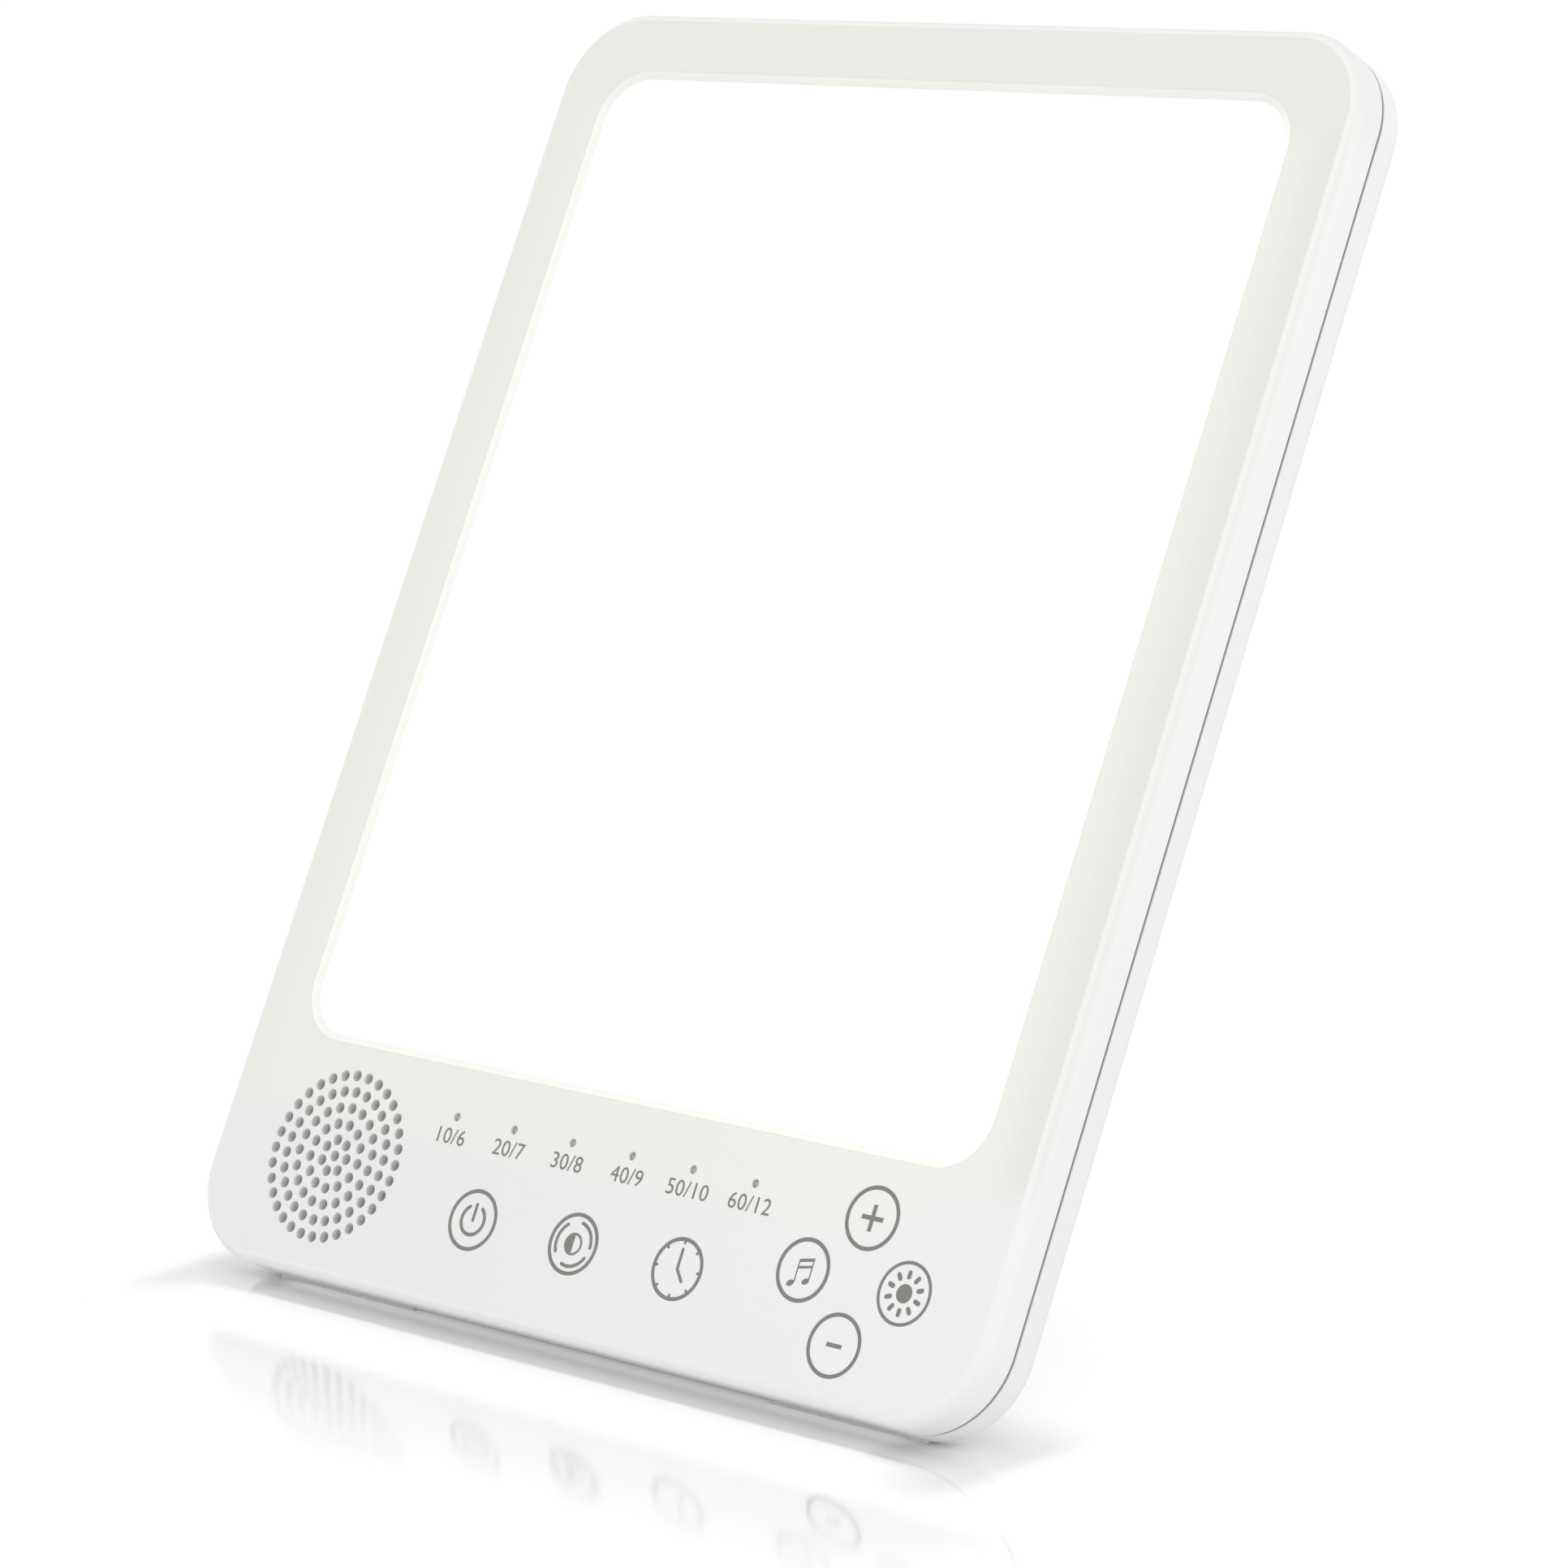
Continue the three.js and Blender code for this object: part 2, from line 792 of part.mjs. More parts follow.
// The cone with its dust cap and the coil former behind it, free to travel both ways
function speakerCone() {
  const front = rimFront + coneTravel;
  const mouthRadius = speakerRadius - rimWidth - basketWall;
  const narrowing = (mouthRadius - seatRadius - basketWall) / (basketDepth - basketWall);
  const coneRadius = mouthRadius - clearance - narrowing * (2 * coneTravel + coneWall);
  const apex = seatBack - basketWall - clearance - coneTravel - coneWall;
  return turned(
    [
      [0, apex - coneWall],
      [coilRadius, apex],
      [coneRadius - coneWall, front],
      [coneRadius, front],
      [coneRadius, front + coneWall],
      [coilRadius + coneWall, apex + coneWall],
      [coilRadius, seatBack - coneTravel],
      [coilRadius - coneWall, seatBack - coneTravel],
      [coilRadius - coneWall, apex + coneWall],
      [0, apex],
    ],
    speakerX,
    speakerZ,
  );
}

const speakerCloth = () =>
  round(speakerX, speakerZ, speakerRadius, clothFront, clothFront + clothThickness);

const speakerMagnet = () =>
  round(speakerX, speakerZ, seatRadius + magnetOverhang, magnetFront, rearInner - magnetRearGap);

// The power inlet stands on the board and reaches through the cover
function powerInlet() {
  const nose = caseDepth - inletSetback;
  const body = join(
    block(inletX, inletRise, inletBodyWidth, inletBodyHeight, partsFront, rearInner - clearance),
    round(inletX, inletRise, inletNoseRadius, rearInner - overrun, nose),
  );
  const bore = round(
    inletX,
    inletRise,
    inletBoreRadius,
    partsFront + inletFloor,
    nose + overrun,
    smallSides,
  );
  return cut(body, bore);
}

const inletPin = () =>
  round(
    inletX,
    inletRise,
    inletPinRadius,
    partsFront + inletFloor + clearance,
    caseDepth - inletPinSetback,
    smallSides,
  );

// A pan-head screw that is driven forwards, with its head's underside at a given depth
function screw([x, z], seat, length) {
  return turned(
    [
      [0, seat - length],
      [shankRadius, seat - length + shankRadius],
      [shankRadius, seat],
      [headRadius, seat],
      [headRadius, seat + headHeight / 2],
      [headRadius / 2, seat + headHeight],
      [0, seat + headHeight],
    ],
    x,
    z,
    smallSides,
  );
}

// The leg, drawn folded with its pivot at the origin, running down.
// Its heel is cut to lie flat on the recess's floor when the leg is open.
const legBox = {
  left: -legWidth / 2,
  right: legWidth / 2,
  bottom: -legReach,
  top: heelHeight,
  radius: legCornerRadius,
};
const half = legThickness / 2;
const stopReach = half + legClearance - clearance;
const soleHeight = (y) => -(pivotHeight + y * Math.sin(legTilt)) / Math.cos(legTilt);
const legEnd = -legReach + shoeHeight;

function standLeg() {
  const stopHeight = (stopReach - half * Math.cos(legOpenAngle)) / Math.sin(legOpenAngle);
  const heelFront = (heelHeight * Math.sin(legOpenAngle) - stopReach) / Math.cos(legOpenAngle);
  const section = across(
    [
      [-half, legEnd],
      [half, legEnd],
      [half, heelHeight],
      [heelFront, heelHeight],
      [-half, stopHeight],
    ],
    legBox.left,
    legBox.right,
  );
  const outline = slab({ ...legBox, top: heelHeight + legCornerRadius }, -half, half);
  const panel = slab(
    {
      ...insetBox(legBox, panelMargin),
      bottom: legEnd + panelMargin,
      top: -panelMargin,
      radius: legCornerRadius / 2,
    },
    half - panelDepth,
    half + overrun,
  );
  const bores = [-1, 1].map((side) =>
    axle(
      0,
      0,
      pinRadius + pinClearance,
      Math.min(side * (legBox.right - pinReach - clearance), side * (legBox.right + overrun)),
      Math.max(side * (legBox.right - pinReach - clearance), side * (legBox.right + overrun)),
    ),
  );
  return cut(section.intersect(outline), panel, ...bores);
}

// The shoe's sole is slanted so that it lies flat on the floor when the leg is open
function standShoe() {
  const section = across(
    [
      [-half, soleHeight(-half)],
      [half, soleHeight(half)],
      [half, legEnd - clearance],
      [-half, legEnd - clearance],
    ],
    legBox.left,
    legBox.right,
  );
  return section.intersect(slab({ ...legBox, top: legEnd + legCornerRadius }, -half, half));
}

const hingePin = (side) =>
  axle(
    0,
    0,
    pinRadius,
    Math.min(side * (legBox.right - pinReach), side * (recessBox.right + pinReach)),
    Math.max(side * (legBox.right - pinReach), side * (recessBox.right + pinReach)),
  );

const frictionWasher = (side) => {
  const near = legBox.right + clearance;
  const far = near + washerThickness;
  const ends = [side * near, side * far].sort((a, b) => a - b);
  return cut(
    axle(0, 0, washerRadius, ...ends),
    axle(0, 0, pinRadius + pinClearance, ends[0] - overrun, ends[1] + overrun),
  );
};

// A wire through a list of points
function lead(points) {
  const path = new THREE.CatmullRomCurve3(points.map((p) => new THREE.Vector3(...p)));
  const section = new THREE.Shape(
    Array.from({ length: leadSides }, (_, i) => {
      const turn = (2 * Math.PI * i) / leadSides;
      return new THREE.Vector2(leadRadius * Math.cos(turn), leadRadius * Math.sin(turn));
    }),
  );
  return solidOf(
    new THREE.ExtrudeGeometry(section, { steps: leadSteps, extrudePath: path }),
  );
}

// From the lower end of an LED strip, round the plate's corner, to the back of the board
function stripLead(side) {
  const x = side * (caseBox.right - stripInset - stripThickness / 2);
  const depth = (guideFront + reflectorFront) / 2;
  const top = guideBox.bottom + plateMargin - clearance;
  const behind = rearInner - 2 * leadRadius - clearance - stripThickness;
  const endX = side < 0 ? recessBox.left - trayWall - leadTrayGap : boardPosts[3][0] - 2 * postRadius;
  const endZ = boardPosts[1][1] - postRadius;
  const bend = top - leadDrop;
  return lead([
    [x, depth, top],
    [x, depth, top - leadDrop / 2],
    [x - side * leadRadius, (depth + behind) / 2, bend],
    [x - side * leadDrop, behind, bend - leadDrop / 2],
    [endX + side * leadDrop, behind, (bend + endZ) / 2],
    [endX, behind - leadRadius, endZ],
    [endX, partsFront, endZ],
  ]);
}

// From the loudspeaker's frame to the back of the board
function speakerLead() {
  const start = speakerX + (seatRadius + basketWall);
  const end = boardBox.left + 2 * leadRadius + clearance;
  const behind = seatBack + clearance + 2 * leadRadius;
  return lead([
    [start, seatBack + clearance, speakerZ],
    [start, behind, speakerZ],
    [(start + end) / 2, behind + leadRadius, speakerZ],
    [end, behind - leadRadius, speakerZ],
    [end, partsFront, speakerZ],
  ]);
}

// Finishes
const finish = (color, roughness, metalness = 0) =>
  new THREE.MeshStandardMaterial({ color, roughness, metalness, flatShading: true });
const whiteShell = finish(0xf0f0ee, 0.45);
const opal = finish(0xffffff, 0.35);
const clear = finish(0xf4faff, 0.05);
const film = finish(0xfbfbfb, 0.6);
const aluminium = finish(0xc9cbcd, 0.35, 1);
const ledBoard = finish(0xf2f2ea, 0.5);
const boardGreen = finish(0x1f5c3a, 0.5);
const chipBlack = finish(0x202124, 0.5);
const springSteel = finish(0xb8babd, 0.3, 1);
const blackPlastic = finish(0x232326, 0.5);
const paper = finish(0x3a3a3c, 0.9);
const cloth = finish(0x8f8f8d, 0.95);
const greyRubber = finish(0xb9b9b6, 0.85);
const nickel = finish(0xcfcfcc, 0.25, 1);
const wire = finish(0xc23b2e, 0.5);

function node(name, solid, material) {
  const { vertProperties, triVerts } = solid.getMesh();
  const geometry = new THREE.BufferGeometry();
  geometry.setAttribute("position", new THREE.BufferAttribute(vertProperties, 3));
  geometry.setIndex(new THREE.BufferAttribute(triVerts, 1));
  const mesh = new THREE.Mesh(geometry, material);
  mesh.name = name;
  return mesh;
}

const panel = new THREE.Group();
panel.rotation.x = -leanAngle;
panel.add(
  node("front_bezel", frontBezel(), whiteShell),
  node("rear_cover", rearCover(), whiteShell),
  node("diffuser_panel", diffuserPanel(), opal),
  node("light_guide_plate", slab(guideBox, guideFront, guideBack), clear),
  node("reflector_sheet", slab(guideBox, reflectorFront, plateFront - clearance), film),
  node("back_plate", backPlate(), aluminium),
  node("led_strip_left", ledStrip(-1), ledBoard),
  node("led_strip_right", ledStrip(1), ledBoard),
  node("control_board", controlBoard(), boardGreen),
  node("speaker_frame", speakerFrame(), blackPlastic),
  node("speaker_cone", speakerCone(), paper),
  node("speaker_cloth", speakerCloth(), cloth),
  node("speaker_magnet", speakerMagnet(), springSteel),
  node("power_inlet", powerInlet(), blackPlastic),
  node("power_inlet_pin", inletPin(), nickel),
  node("led_lead_left", stripLead(-1), wire),
  node("led_lead_right", stripLead(1), wire),
  node("speaker_lead", speakerLead(), wire),
  node("foot_left", footBlock(-1), greyRubber),
  node("foot_right", footBlock(1), greyRubber),
);

// Components on the back of the board
const chipAt = ([x, z], size) => block(x, z, size, size, partsFront, partsFront + chipThickness);
panel.add(
  node("touch_chip", chipAt([0, keyPlaces.colour[1]], touchChipSize), chipBlack),
  node("led_driver_chip", chipAt(keyPlaces.sound, driverChipSize), chipBlack),
  node(
    "driver_coil",
    round(...keyPlaces.brightness, coilBodyRadius, partsFront, partsFront + coilHeight),
    chipBlack,
  ),
  node(
    "supply_capacitor",
    round(...keyPlaces.minus, capacitorRadius, partsFront, partsFront + capacitorHeight),
    springSteel,
  ),
);

for (const [name, place] of Object.entries(keyPlaces))
  panel.add(node(`touch_pad_${name}`, touchPad(place), springSteel));

indicatorPlaces.forEach((place, i) =>
  panel.add(node(`indicator_pipe_${i + 1}`, lightPipe(place), clear)),
);

bossPlaces.forEach((place, i) =>
  panel.add(node(`case_screw_${i + 1}`, screw(place, wellFloor + clearance, caseScrewLength), nickel)),
);
boardPosts.forEach((place, i) =>
  panel.add(
    node(`board_screw_${i + 1}`, screw(place, boardBack + clearance, smallScrewLength), nickel),
  ),
);
speakerPosts.forEach((place, i) =>
  panel.add(
    node(`speaker_screw_${i + 1}`, screw(place, earBack + clearance, smallScrewLength), nickel),
  ),
);

const stand = new THREE.Group();
stand.position.set(0, pivotY, pivotZ);
stand.rotation.x = legOpenAngle;
stand.add(
  node("stand_leg", standLeg(), whiteShell),
  node("stand_shoe", standShoe(), greyRubber),
  node("hinge_pin_left", hingePin(-1), nickel),
  node("hinge_pin_right", hingePin(1), nickel),
  node("friction_washer_left", frictionWasher(-1), nickel),
  node("friction_washer_right", frictionWasher(1), nickel),
);
panel.add(stand);

// Stood on its feet, with the middle of its box over the origin
const lamp = new THREE.Group();
lamp.add(panel);
const box = new THREE.Box3().setFromObject(lamp, true);
panel.position.y = -(box.min.y + box.max.y) / 2;
panel.position.z = -floorHeight;

export default lamp;
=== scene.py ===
"""A light therapy lamp: a slim lit panel with printed touch keys that leans back on a fold-out leg.

Lengths are in metres. A piece is drawn in the panel's own frame (x to the right, y back from the
front face, z up from the lower edge), in the leg's or in the floor's, and is then turned into the
lamp's frame, which is the floor's.
"""

import json
import math

import bmesh
import bpy
import numpy as np
from bpy.props import FloatProperty, FloatVectorProperty, IntProperty, PointerProperty
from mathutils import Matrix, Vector


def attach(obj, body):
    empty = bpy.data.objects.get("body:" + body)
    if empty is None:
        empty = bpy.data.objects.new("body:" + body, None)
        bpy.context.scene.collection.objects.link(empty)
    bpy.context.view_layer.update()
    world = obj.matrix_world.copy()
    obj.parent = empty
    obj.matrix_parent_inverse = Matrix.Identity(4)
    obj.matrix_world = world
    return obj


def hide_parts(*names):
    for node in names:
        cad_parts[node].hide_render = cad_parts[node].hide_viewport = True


bl_info = {
    "name": "Light therapy lamp",
    "version": (1, 0, 0),
    "blender": (4, 5, 0),
    "location": "3D View > Sidebar > Lamp",
    "description": "Builds the pieces and finishes of a leaning light therapy lamp",
    "category": "Add Mesh",
}

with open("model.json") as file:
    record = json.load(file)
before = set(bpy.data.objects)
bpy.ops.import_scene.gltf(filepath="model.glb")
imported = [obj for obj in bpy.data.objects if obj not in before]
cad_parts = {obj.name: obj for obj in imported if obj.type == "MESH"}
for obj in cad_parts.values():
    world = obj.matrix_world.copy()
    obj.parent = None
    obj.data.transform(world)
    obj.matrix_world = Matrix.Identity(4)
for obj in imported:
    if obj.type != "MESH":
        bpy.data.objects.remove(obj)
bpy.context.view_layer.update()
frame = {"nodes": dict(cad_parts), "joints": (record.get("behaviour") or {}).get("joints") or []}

MM = 0.001
QUARTER = math.pi / 2
TURN = 2 * math.pi
SIDES = ("left", "right")
FEET = ("foot_left", "foot_right")
BLACK = (0, 0, 0)
WHITE = (1, 1, 1)

# Directions that flat faces of a piece look along: front and back, and those with up and down
FRONT_BACK = ((0, 1, 0), (0, -1, 0))
ALL_ROUND = (*FRONT_BACK, (0, 0, 1), (0, 0, -1))

# How far a cutter reaches past what it cuts, and a joined shape into what it joins
PAST = MM

# Points that lie closer than this along an axis count as one plane
SLACK = 0.01 * MM

# The angle at which a rounded tip ends in a small flat
TIP = 0.9 * QUARTER

# Moulded plastic: the size and depth of its fine grain, and the size of its broad changes in tone
GRAIN = 0.35 * MM
GRAIN_DEPTH = 0.004 * MM
BROAD = 30 * MM

# Rubber: its roughness, and the size and depth of its grain
RUBBER = {"rough": 0.75, "grain": 0.2 * MM, "depth": 0.01 * MM}

# Counts and turns of the grille's rings of holes, from the innermost outwards
GRILLE_COUNTS = (7, 13, 19, 26, 32)
GRILLE_TURN_SHARES = (-0.0083, -0.0139, -0.0222, -0.0222, 0.0083)


class Place:
    """A turned frame of the lamp, with its axes as rows and the place of its origin along them."""

    def __init__(self, back, up, start):
        self.axes = np.array([(1.0, 0.0, 0.0), back, up])
        self.start = np.asarray(start, float)

    def world(self, points):
        """The points in the lamp's frame: the sum of each coordinate times its axis."""
        return (np.asarray(points, float) + self.start) @ self.axes

    def local(self, points):
        return np.asarray(points, float) @ self.axes.T - self.start

    def box(self, *nodes):
        """The lowest and highest corners of some nodes along this place's axes."""
        points = np.vstack([self.local(points_of(name)) for name in nodes])
        return points.min(0), points.max(0)

    def middle(self, node):
        """A node's middle, seen from the front."""
        return (sum(self.box(node)) / 2)[[0, 2]]

    def flat_box(self, *nodes):
        """The box of some nodes seen from the front: left, bottom, right and top."""
        low, high = self.box(*nodes)
        return (low[0], low[2], high[0], high[2])

    def depths(self, node):
        """The depths of a node's front and back."""
        low, high = self.box(node)
        return low[1], high[1]

    def radius(self, node):
        """Half a node's width, seen from the front."""
        low, high = self.box(node)
        return (high[0] - low[0]) / 2


def coordinates(mesh):
    points = np.empty(len(mesh.vertices) * 3)
    mesh.vertices.foreach_get("co", points)
    return points.reshape(-1, 3)


def points_of(name):
    return coordinates(frame["nodes"][name].data)


def joint_named(name):
    return next(joint for joint in frame["joints"] if joint["name"] == name)


def panel_place():
    """The panel's frame: its depth runs against the way that the speaker's cone travels."""
    back = -np.array(joint_named("cone_travel")["axis"])
    back /= np.linalg.norm(back)
    up = np.cross((1.0, 0.0, 0.0), back)
    loose = Place(back, up, (0, 0, 0))
    low, _ = loose.box("front_bezel")
    return Place(back, up, (0, low[1], low[2]))


def leg_place(panel):
    """The leg's frame: the panel's, turned about the hinge by the angle that the leg folds through."""
    hinge = joint_named("leg_fold")
    angle = math.radians(max(hinge["range_deg"]))
    _, back, up = panel.axes
    leg_back = math.cos(angle) * back + math.sin(angle) * up
    leg_up = math.cos(angle) * up - math.sin(angle) * back
    loose = Place(leg_back, leg_up, (0, 0, 0))
    return Place(leg_back, leg_up, loose.local(np.array(hinge["pos_m"])))


PANEL = panel_place()
LEG = leg_place(PANEL)
FLOOR = Place((0, 1, 0), (0, 0, 1), (0, 0, 0))


def length(name, value, text):
    return FloatProperty(name=name, default=value * MM, description=text, unit="LENGTH", precision=5)


def amount(name, value, text):
    return FloatProperty(name=name, default=value, description=text)


def colour(name, red, green, blue, text):
    """A colour written as the 0 to 255 values that it shows on a screen."""
    values = np.array((red, green, blue)) / 255
    linear = np.where(values <= 0.04045, values / 12.92, ((values + 0.055) / 1.055) ** 2.4)
    return FloatVectorProperty(name=name, default=tuple(linear), description=text, subtype="COLOR",
                               size=3, min=0, max=1)


class LampShell(bpy.types.PropertyGroup):
    corner: length("Corner radius", 16, "Radius of the case's four corners, seen from the front")
    front_edge: length("Front edge", 1.8, "Width of the rounded edge round the front face")
    front_crease: FloatProperty(name="Front crease", default=math.radians(16), subtype="ANGLE",
                                description="Angle at which the rounded edge leaves the front face")
    rear_edge: length("Rear edge", 3.6, "Radius of the rounded edge round the rear face")
    front_wall: length("Front wall", 2, "Thickness of the front face")
    side_wall: length("Side wall", 1.8, "Thickness of the case's sides")
    rear_wall: length("Rear wall", 2, "Thickness of the rear face")
    bezel_depth: length("Bezel depth", 7.4, "Depth of the front half of the case")
    gap: length("Gap", 0.3, "Gap between pieces that meet")
    seam_edge: length("Seam edge", 0.15, "Eased edge on each side of the seam")
    # Painted shade: how much the seam's colour is darkened
    seam_shade: amount("Seam shade", 0.5, "How much darker the seam is")
    tongue: length("Tongue", 1.2, "Wall of the tongue that locates the rear half in the front half")
    tongue_height: length("Tongue height", 1.5, "How far the tongue reaches into the front half")
    boss: length("Boss radius", 2.6, "Radius of the screw bosses")
    post: length("Post radius", 2, "Radius of the posts that carry the board and the speaker")
    shank: length("Shank hole", 1.2, "Radius of the screws' holes")
    corner_steps: IntProperty(name="Corner steps", default=28, description="Faces round each corner")
    edge_steps: IntProperty(name="Edge steps", default=14, description="Faces across a rounded edge")


class LampWindow(bpy.types.PropertyGroup):
    corner: length("Corner radius", 10, "Radius of the window's corners at the front face")
    lip_run: length("Lip run", 1.5, "How far the bevelled lip runs inwards")
    lip_depth: length("Lip depth", 1.15, "How deep the ledge and the lit sheet lie")
    ledge: length("Ledge", 0.85, "Width of the flat ledge between the lip and the lit sheet")
    soft_edge: length("Soft edge", 0.25, "Radius of the edge between the face and the lip")
    sheet_edge: length("Sheet edge", 0.12, "Eased edge of the lit sheet")
    # Painted glow on the ledge, for the light that it takes from the sheet
    painted_ledge_glow: amount("Ledge glow", 0.22, "Light that the ledge takes from the sheet")
    flange: length("Flange", 3, "How far the sheet's flange reaches behind the bezel")
    flange_thickness: length("Flange thickness", 1.5, "Thickness of the sheet's flange")


class LampGrille(bpy.types.PropertyGroup):
    pitch: length("Pitch", 2.95, "Step between the rings of holes")
    hole: length("Hole radius", 1, "Radius of the speaker holes")
    dot: length("Dot radius", 0.75, "Radius of the indicator holes")
    rim: length("Rim", 0.08, "Eased rim of each hole")
    sides: IntProperty(name="Sides", default=20, description="Faces round each hole")


class LampPrint(bpy.types.PropertyGroup):
    thickness: length("Thickness", 0.03, "How far the print stands proud of the face")
    sink: length("Sink", 0.02, "How far the print reaches into the face")
    shift: length("Shift", 0.18, "How far the print sits to the right of the pads behind it")
    ring: length("Ring radius", 5.11, "Mean radius of the ring round each key")
    digit: length("Digit height", 2.3, "Height of the printed numbers")
    digit_drop: length("Digit drop", 3.45, "From an indicator's centre down to its number's centre")
    slash_share: amount("Slash share", 1.22, "Slash to digit height")


class LampRear(bpy.types.PropertyGroup):
    recess_corner: length("Recess corner", 5.5, "Radius of the recess's lower corners")
    leg_gap: length("Leg gap", 0.4, "Gap between the folded leg and the recess's floor")
    recess_side: length("Recess side gap", 1.1, "Gap between the leg and the recess's sides")
    recess_end: length("Recess end gap", 0.5, "Gap between the leg's ends and the recess")
    recess_edge: length("Recess edge", 0.4, "Eased edge round the recess")
    tray: length("Tray wall", 1.4, "Wall of the tray that holds the leg")
    notch_rise: length("Notch rise", 29.05, "Height of the finger notch's centre")
    notch_height: length("Notch height", 18, "Height of the finger notch")
    notch_reach: length("Notch reach", 8, "How far the finger notch reaches beside the leg")
    notch_depth: length("Notch depth", 2.6, "Depth of the finger notch")
    ear: length("Ear length", 6, "Length of the ears that hold the hinge pins")
    well_depth: length("Well depth", 2.8, "Depth of the screw wells")
    well_wall: length("Well wall", 1.2, "Wall round a screw well")
    inlet_bore: length("Inlet bore", 1.95, "Radius of the power inlet's bore")
    well_clearance: length("Well clearance", 0.3, "Gap between a screw's head and its well")


class LampLeg(bpy.types.PropertyGroup):
    corner: length("Corner radius", 5, "Radius of the leg's corners")
    edge: length("Edge", 0.5, "Radius of the leg's eased edges")
    panel_margin: length("Panel margin", 5, "Border round the leg's sunken panel")
    panel_depth: length("Panel depth", 0.6, "Depth of the leg's sunken panel")
    panel_edge: length("Panel edge", 0.15, "Eased edge round the leg's sunken panel")
    pin: length("Pin radius", 0.75, "Radius of the hinge pins")
    bore: length("Bore radius", 0.9, "Radius of the hinge pins' holes")


class LampColours(bpy.types.PropertyGroup):
    shell: colour("Shell", 238, 238, 238, "Neutral white of the case")
    warm: colour("Warm white", 236, 237, 230, "White of the bezel round the window")
    lit: colour("Lit sheet", 255, 255, 255, "The lit sheet")
    ink: colour("Ink", 128, 128, 122, "The printed keys and numbers")
    pipe: colour("Light pipe", 176, 177, 175, "The tips of the indicators")
    cloth: colour("Speaker cloth", 150, 150, 148, "The cloth behind the grille")
    rubber: colour("Rubber", 232, 232, 230, "The feet and the leg's shoe")
    metal: colour("Metal", 205, 205, 202, "Plated screws, pins and springs")
    black: colour("Black plastic", 38, 38, 40, "The power inlet and the speaker's frame")


class LampStudio(bpy.types.PropertyGroup):
    azimuth: amount("Azimuth", 41.350, "Degrees round the lamp")
    elevation: amount("Elevation", 10.063, "Degrees above the floor")
    distance: length("Distance", 886.84, "From the camera to the point that it aims at")
    aim: FloatVectorProperty(name="Aim", default=(3.982 * MM, -3.525 * MM, 92.699 * MM), size=3,
                             description="The point that the camera aims at", unit="LENGTH")
    lens: amount("Lens", 118.162, "Focal length in millimetres")
    floor_radius: amount("Floor radius", 12, "Radius of the floor in metres")
    sky: amount("Sky", 0.9, "Strength of the even studio light")
    sheet_glow: amount("Sheet glow", 1.6, "Strength of the lit sheet")
    key: amount("Key", 2.6, "Power of the soft light on the right, in watts")
    side: amount("Side", 1.8, "Power of the soft light past the right side, in watts")
    fill: amount("Fill", 0.9, "Power of the soft light on the left, in watts")
    floor_lift: amount("Floor lift", 0.25, "Added to the floor that the camera sees")
    mirror: amount("Mirror", 0.88, "Share of the front face's reflection, before it fades")
    mirror_near: amount("Mirror near", 0.15, "Share of the reflection next to the lamp")
    mirror_under: amount("Mirror under", 0.4, "Share of the reflection in the shade under the case")
    mirror_start: length("Mirror start", 14, "How far from the lamp the face's reflection starts")
    mirror_reach: length("Mirror reach", 120, "How far from the lamp the reflection fades out")


# Shapes: each is (points, faces), closed and facing outwards


def inset(box, by):
    left, bottom, right, top = box
    return (left + by, bottom + by, right - by, top - by)


def unit(turns):
    """The unit vector (cos a, sin a) of each angle a."""
    return np.stack([np.cos(turns), np.sin(turns)], axis=-1)


def outline(box, radius, steps):
    """The rim of a rounded box, anticlockwise seen from the front.

    Each corner's centre plus radius times (cos a, sin a), where a runs through that corner's quarter.
    """
    left, bottom, right, top = box
    near, far = left + radius, right - radius
    low, high = bottom + radius, top - radius
    middles = np.array([(far, low), (far, high), (near, high), (near, low)])
    turns = QUARTER * (np.arange(-1, 3)[:, None] + np.linspace(0, 1, steps + 1))
    return (middles[:, None] + radius * unit(turns)).reshape(-1, 2)


def circle(centre, radius, sides):
    """The centre plus radius times (cos a, sin a), where a runs through a whole turn."""
    return np.asarray(centre) + radius * unit(TURN * np.arange(sides) / sides)


def skin(rings):
    """A closed skin over rims of equal count at growing depths.

    Quads join point i of a rim to point i of the next one, and each end rim is one face.
    """
    points = np.stack([np.insert(rim, 1, depth, axis=1) for rim, depth in rings])
    index = np.arange(points.shape[0] * points.shape[1]).reshape(points.shape[:2])
    near, far = index[:-1], index[1:]
    sides = np.stack([near, far, np.roll(far, -1, 1), np.roll(near, -1, 1)], axis=-1)
    ends = [index[0].tolist(), index[-1][::-1].tolist()]
    return points.reshape(-1, 3), sides.reshape(-1, 4).tolist() + ends


def eased(box, corner, edge, depth, inwards, steps, corner_steps, start=0.0):
    """Rims of a rounded edge, from the flat face to the full box.

    At angle a the rim is inset by edge times (1 - sin a), at a depth of edge times (cos s - cos a),
    where s is the angle that the round starts at: above 0 it leaves the face with a crease.
    """
    turns = np.linspace(start, QUARTER, steps + 1)
    shrink = edge * (1 - np.sin(turns))
    sink = edge * (math.cos(start) - np.cos(turns))
    return [
        (outline(inset(box, by), max(corner - by, edge / steps), corner_steps), depth + inwards * down)
        for by, down in zip(shrink, sink)
    ]


def slab(box, corner, front, back, edge, steps, corner_steps):
    """A flat piece with rounded corners and eased edges, from one depth to another."""
    lead = eased(box, corner, edge, front, 1, steps, corner_steps)
    tail = eased(box, corner, edge, back, -1, steps, corner_steps)
    return skin(lead + tail[::-1])


def prism(rim, front, back):
    return skin([(rim, front), (rim, back)])


def block(box, front, back):
    return prism(quad(*box), front, back)


def bar(centre, profile, sides=32):
    """A turned piece along the depth, from pairs of radius and growing depth."""
    return skin([(circle(centre, radius, sides), depth) for radius, depth in profile])


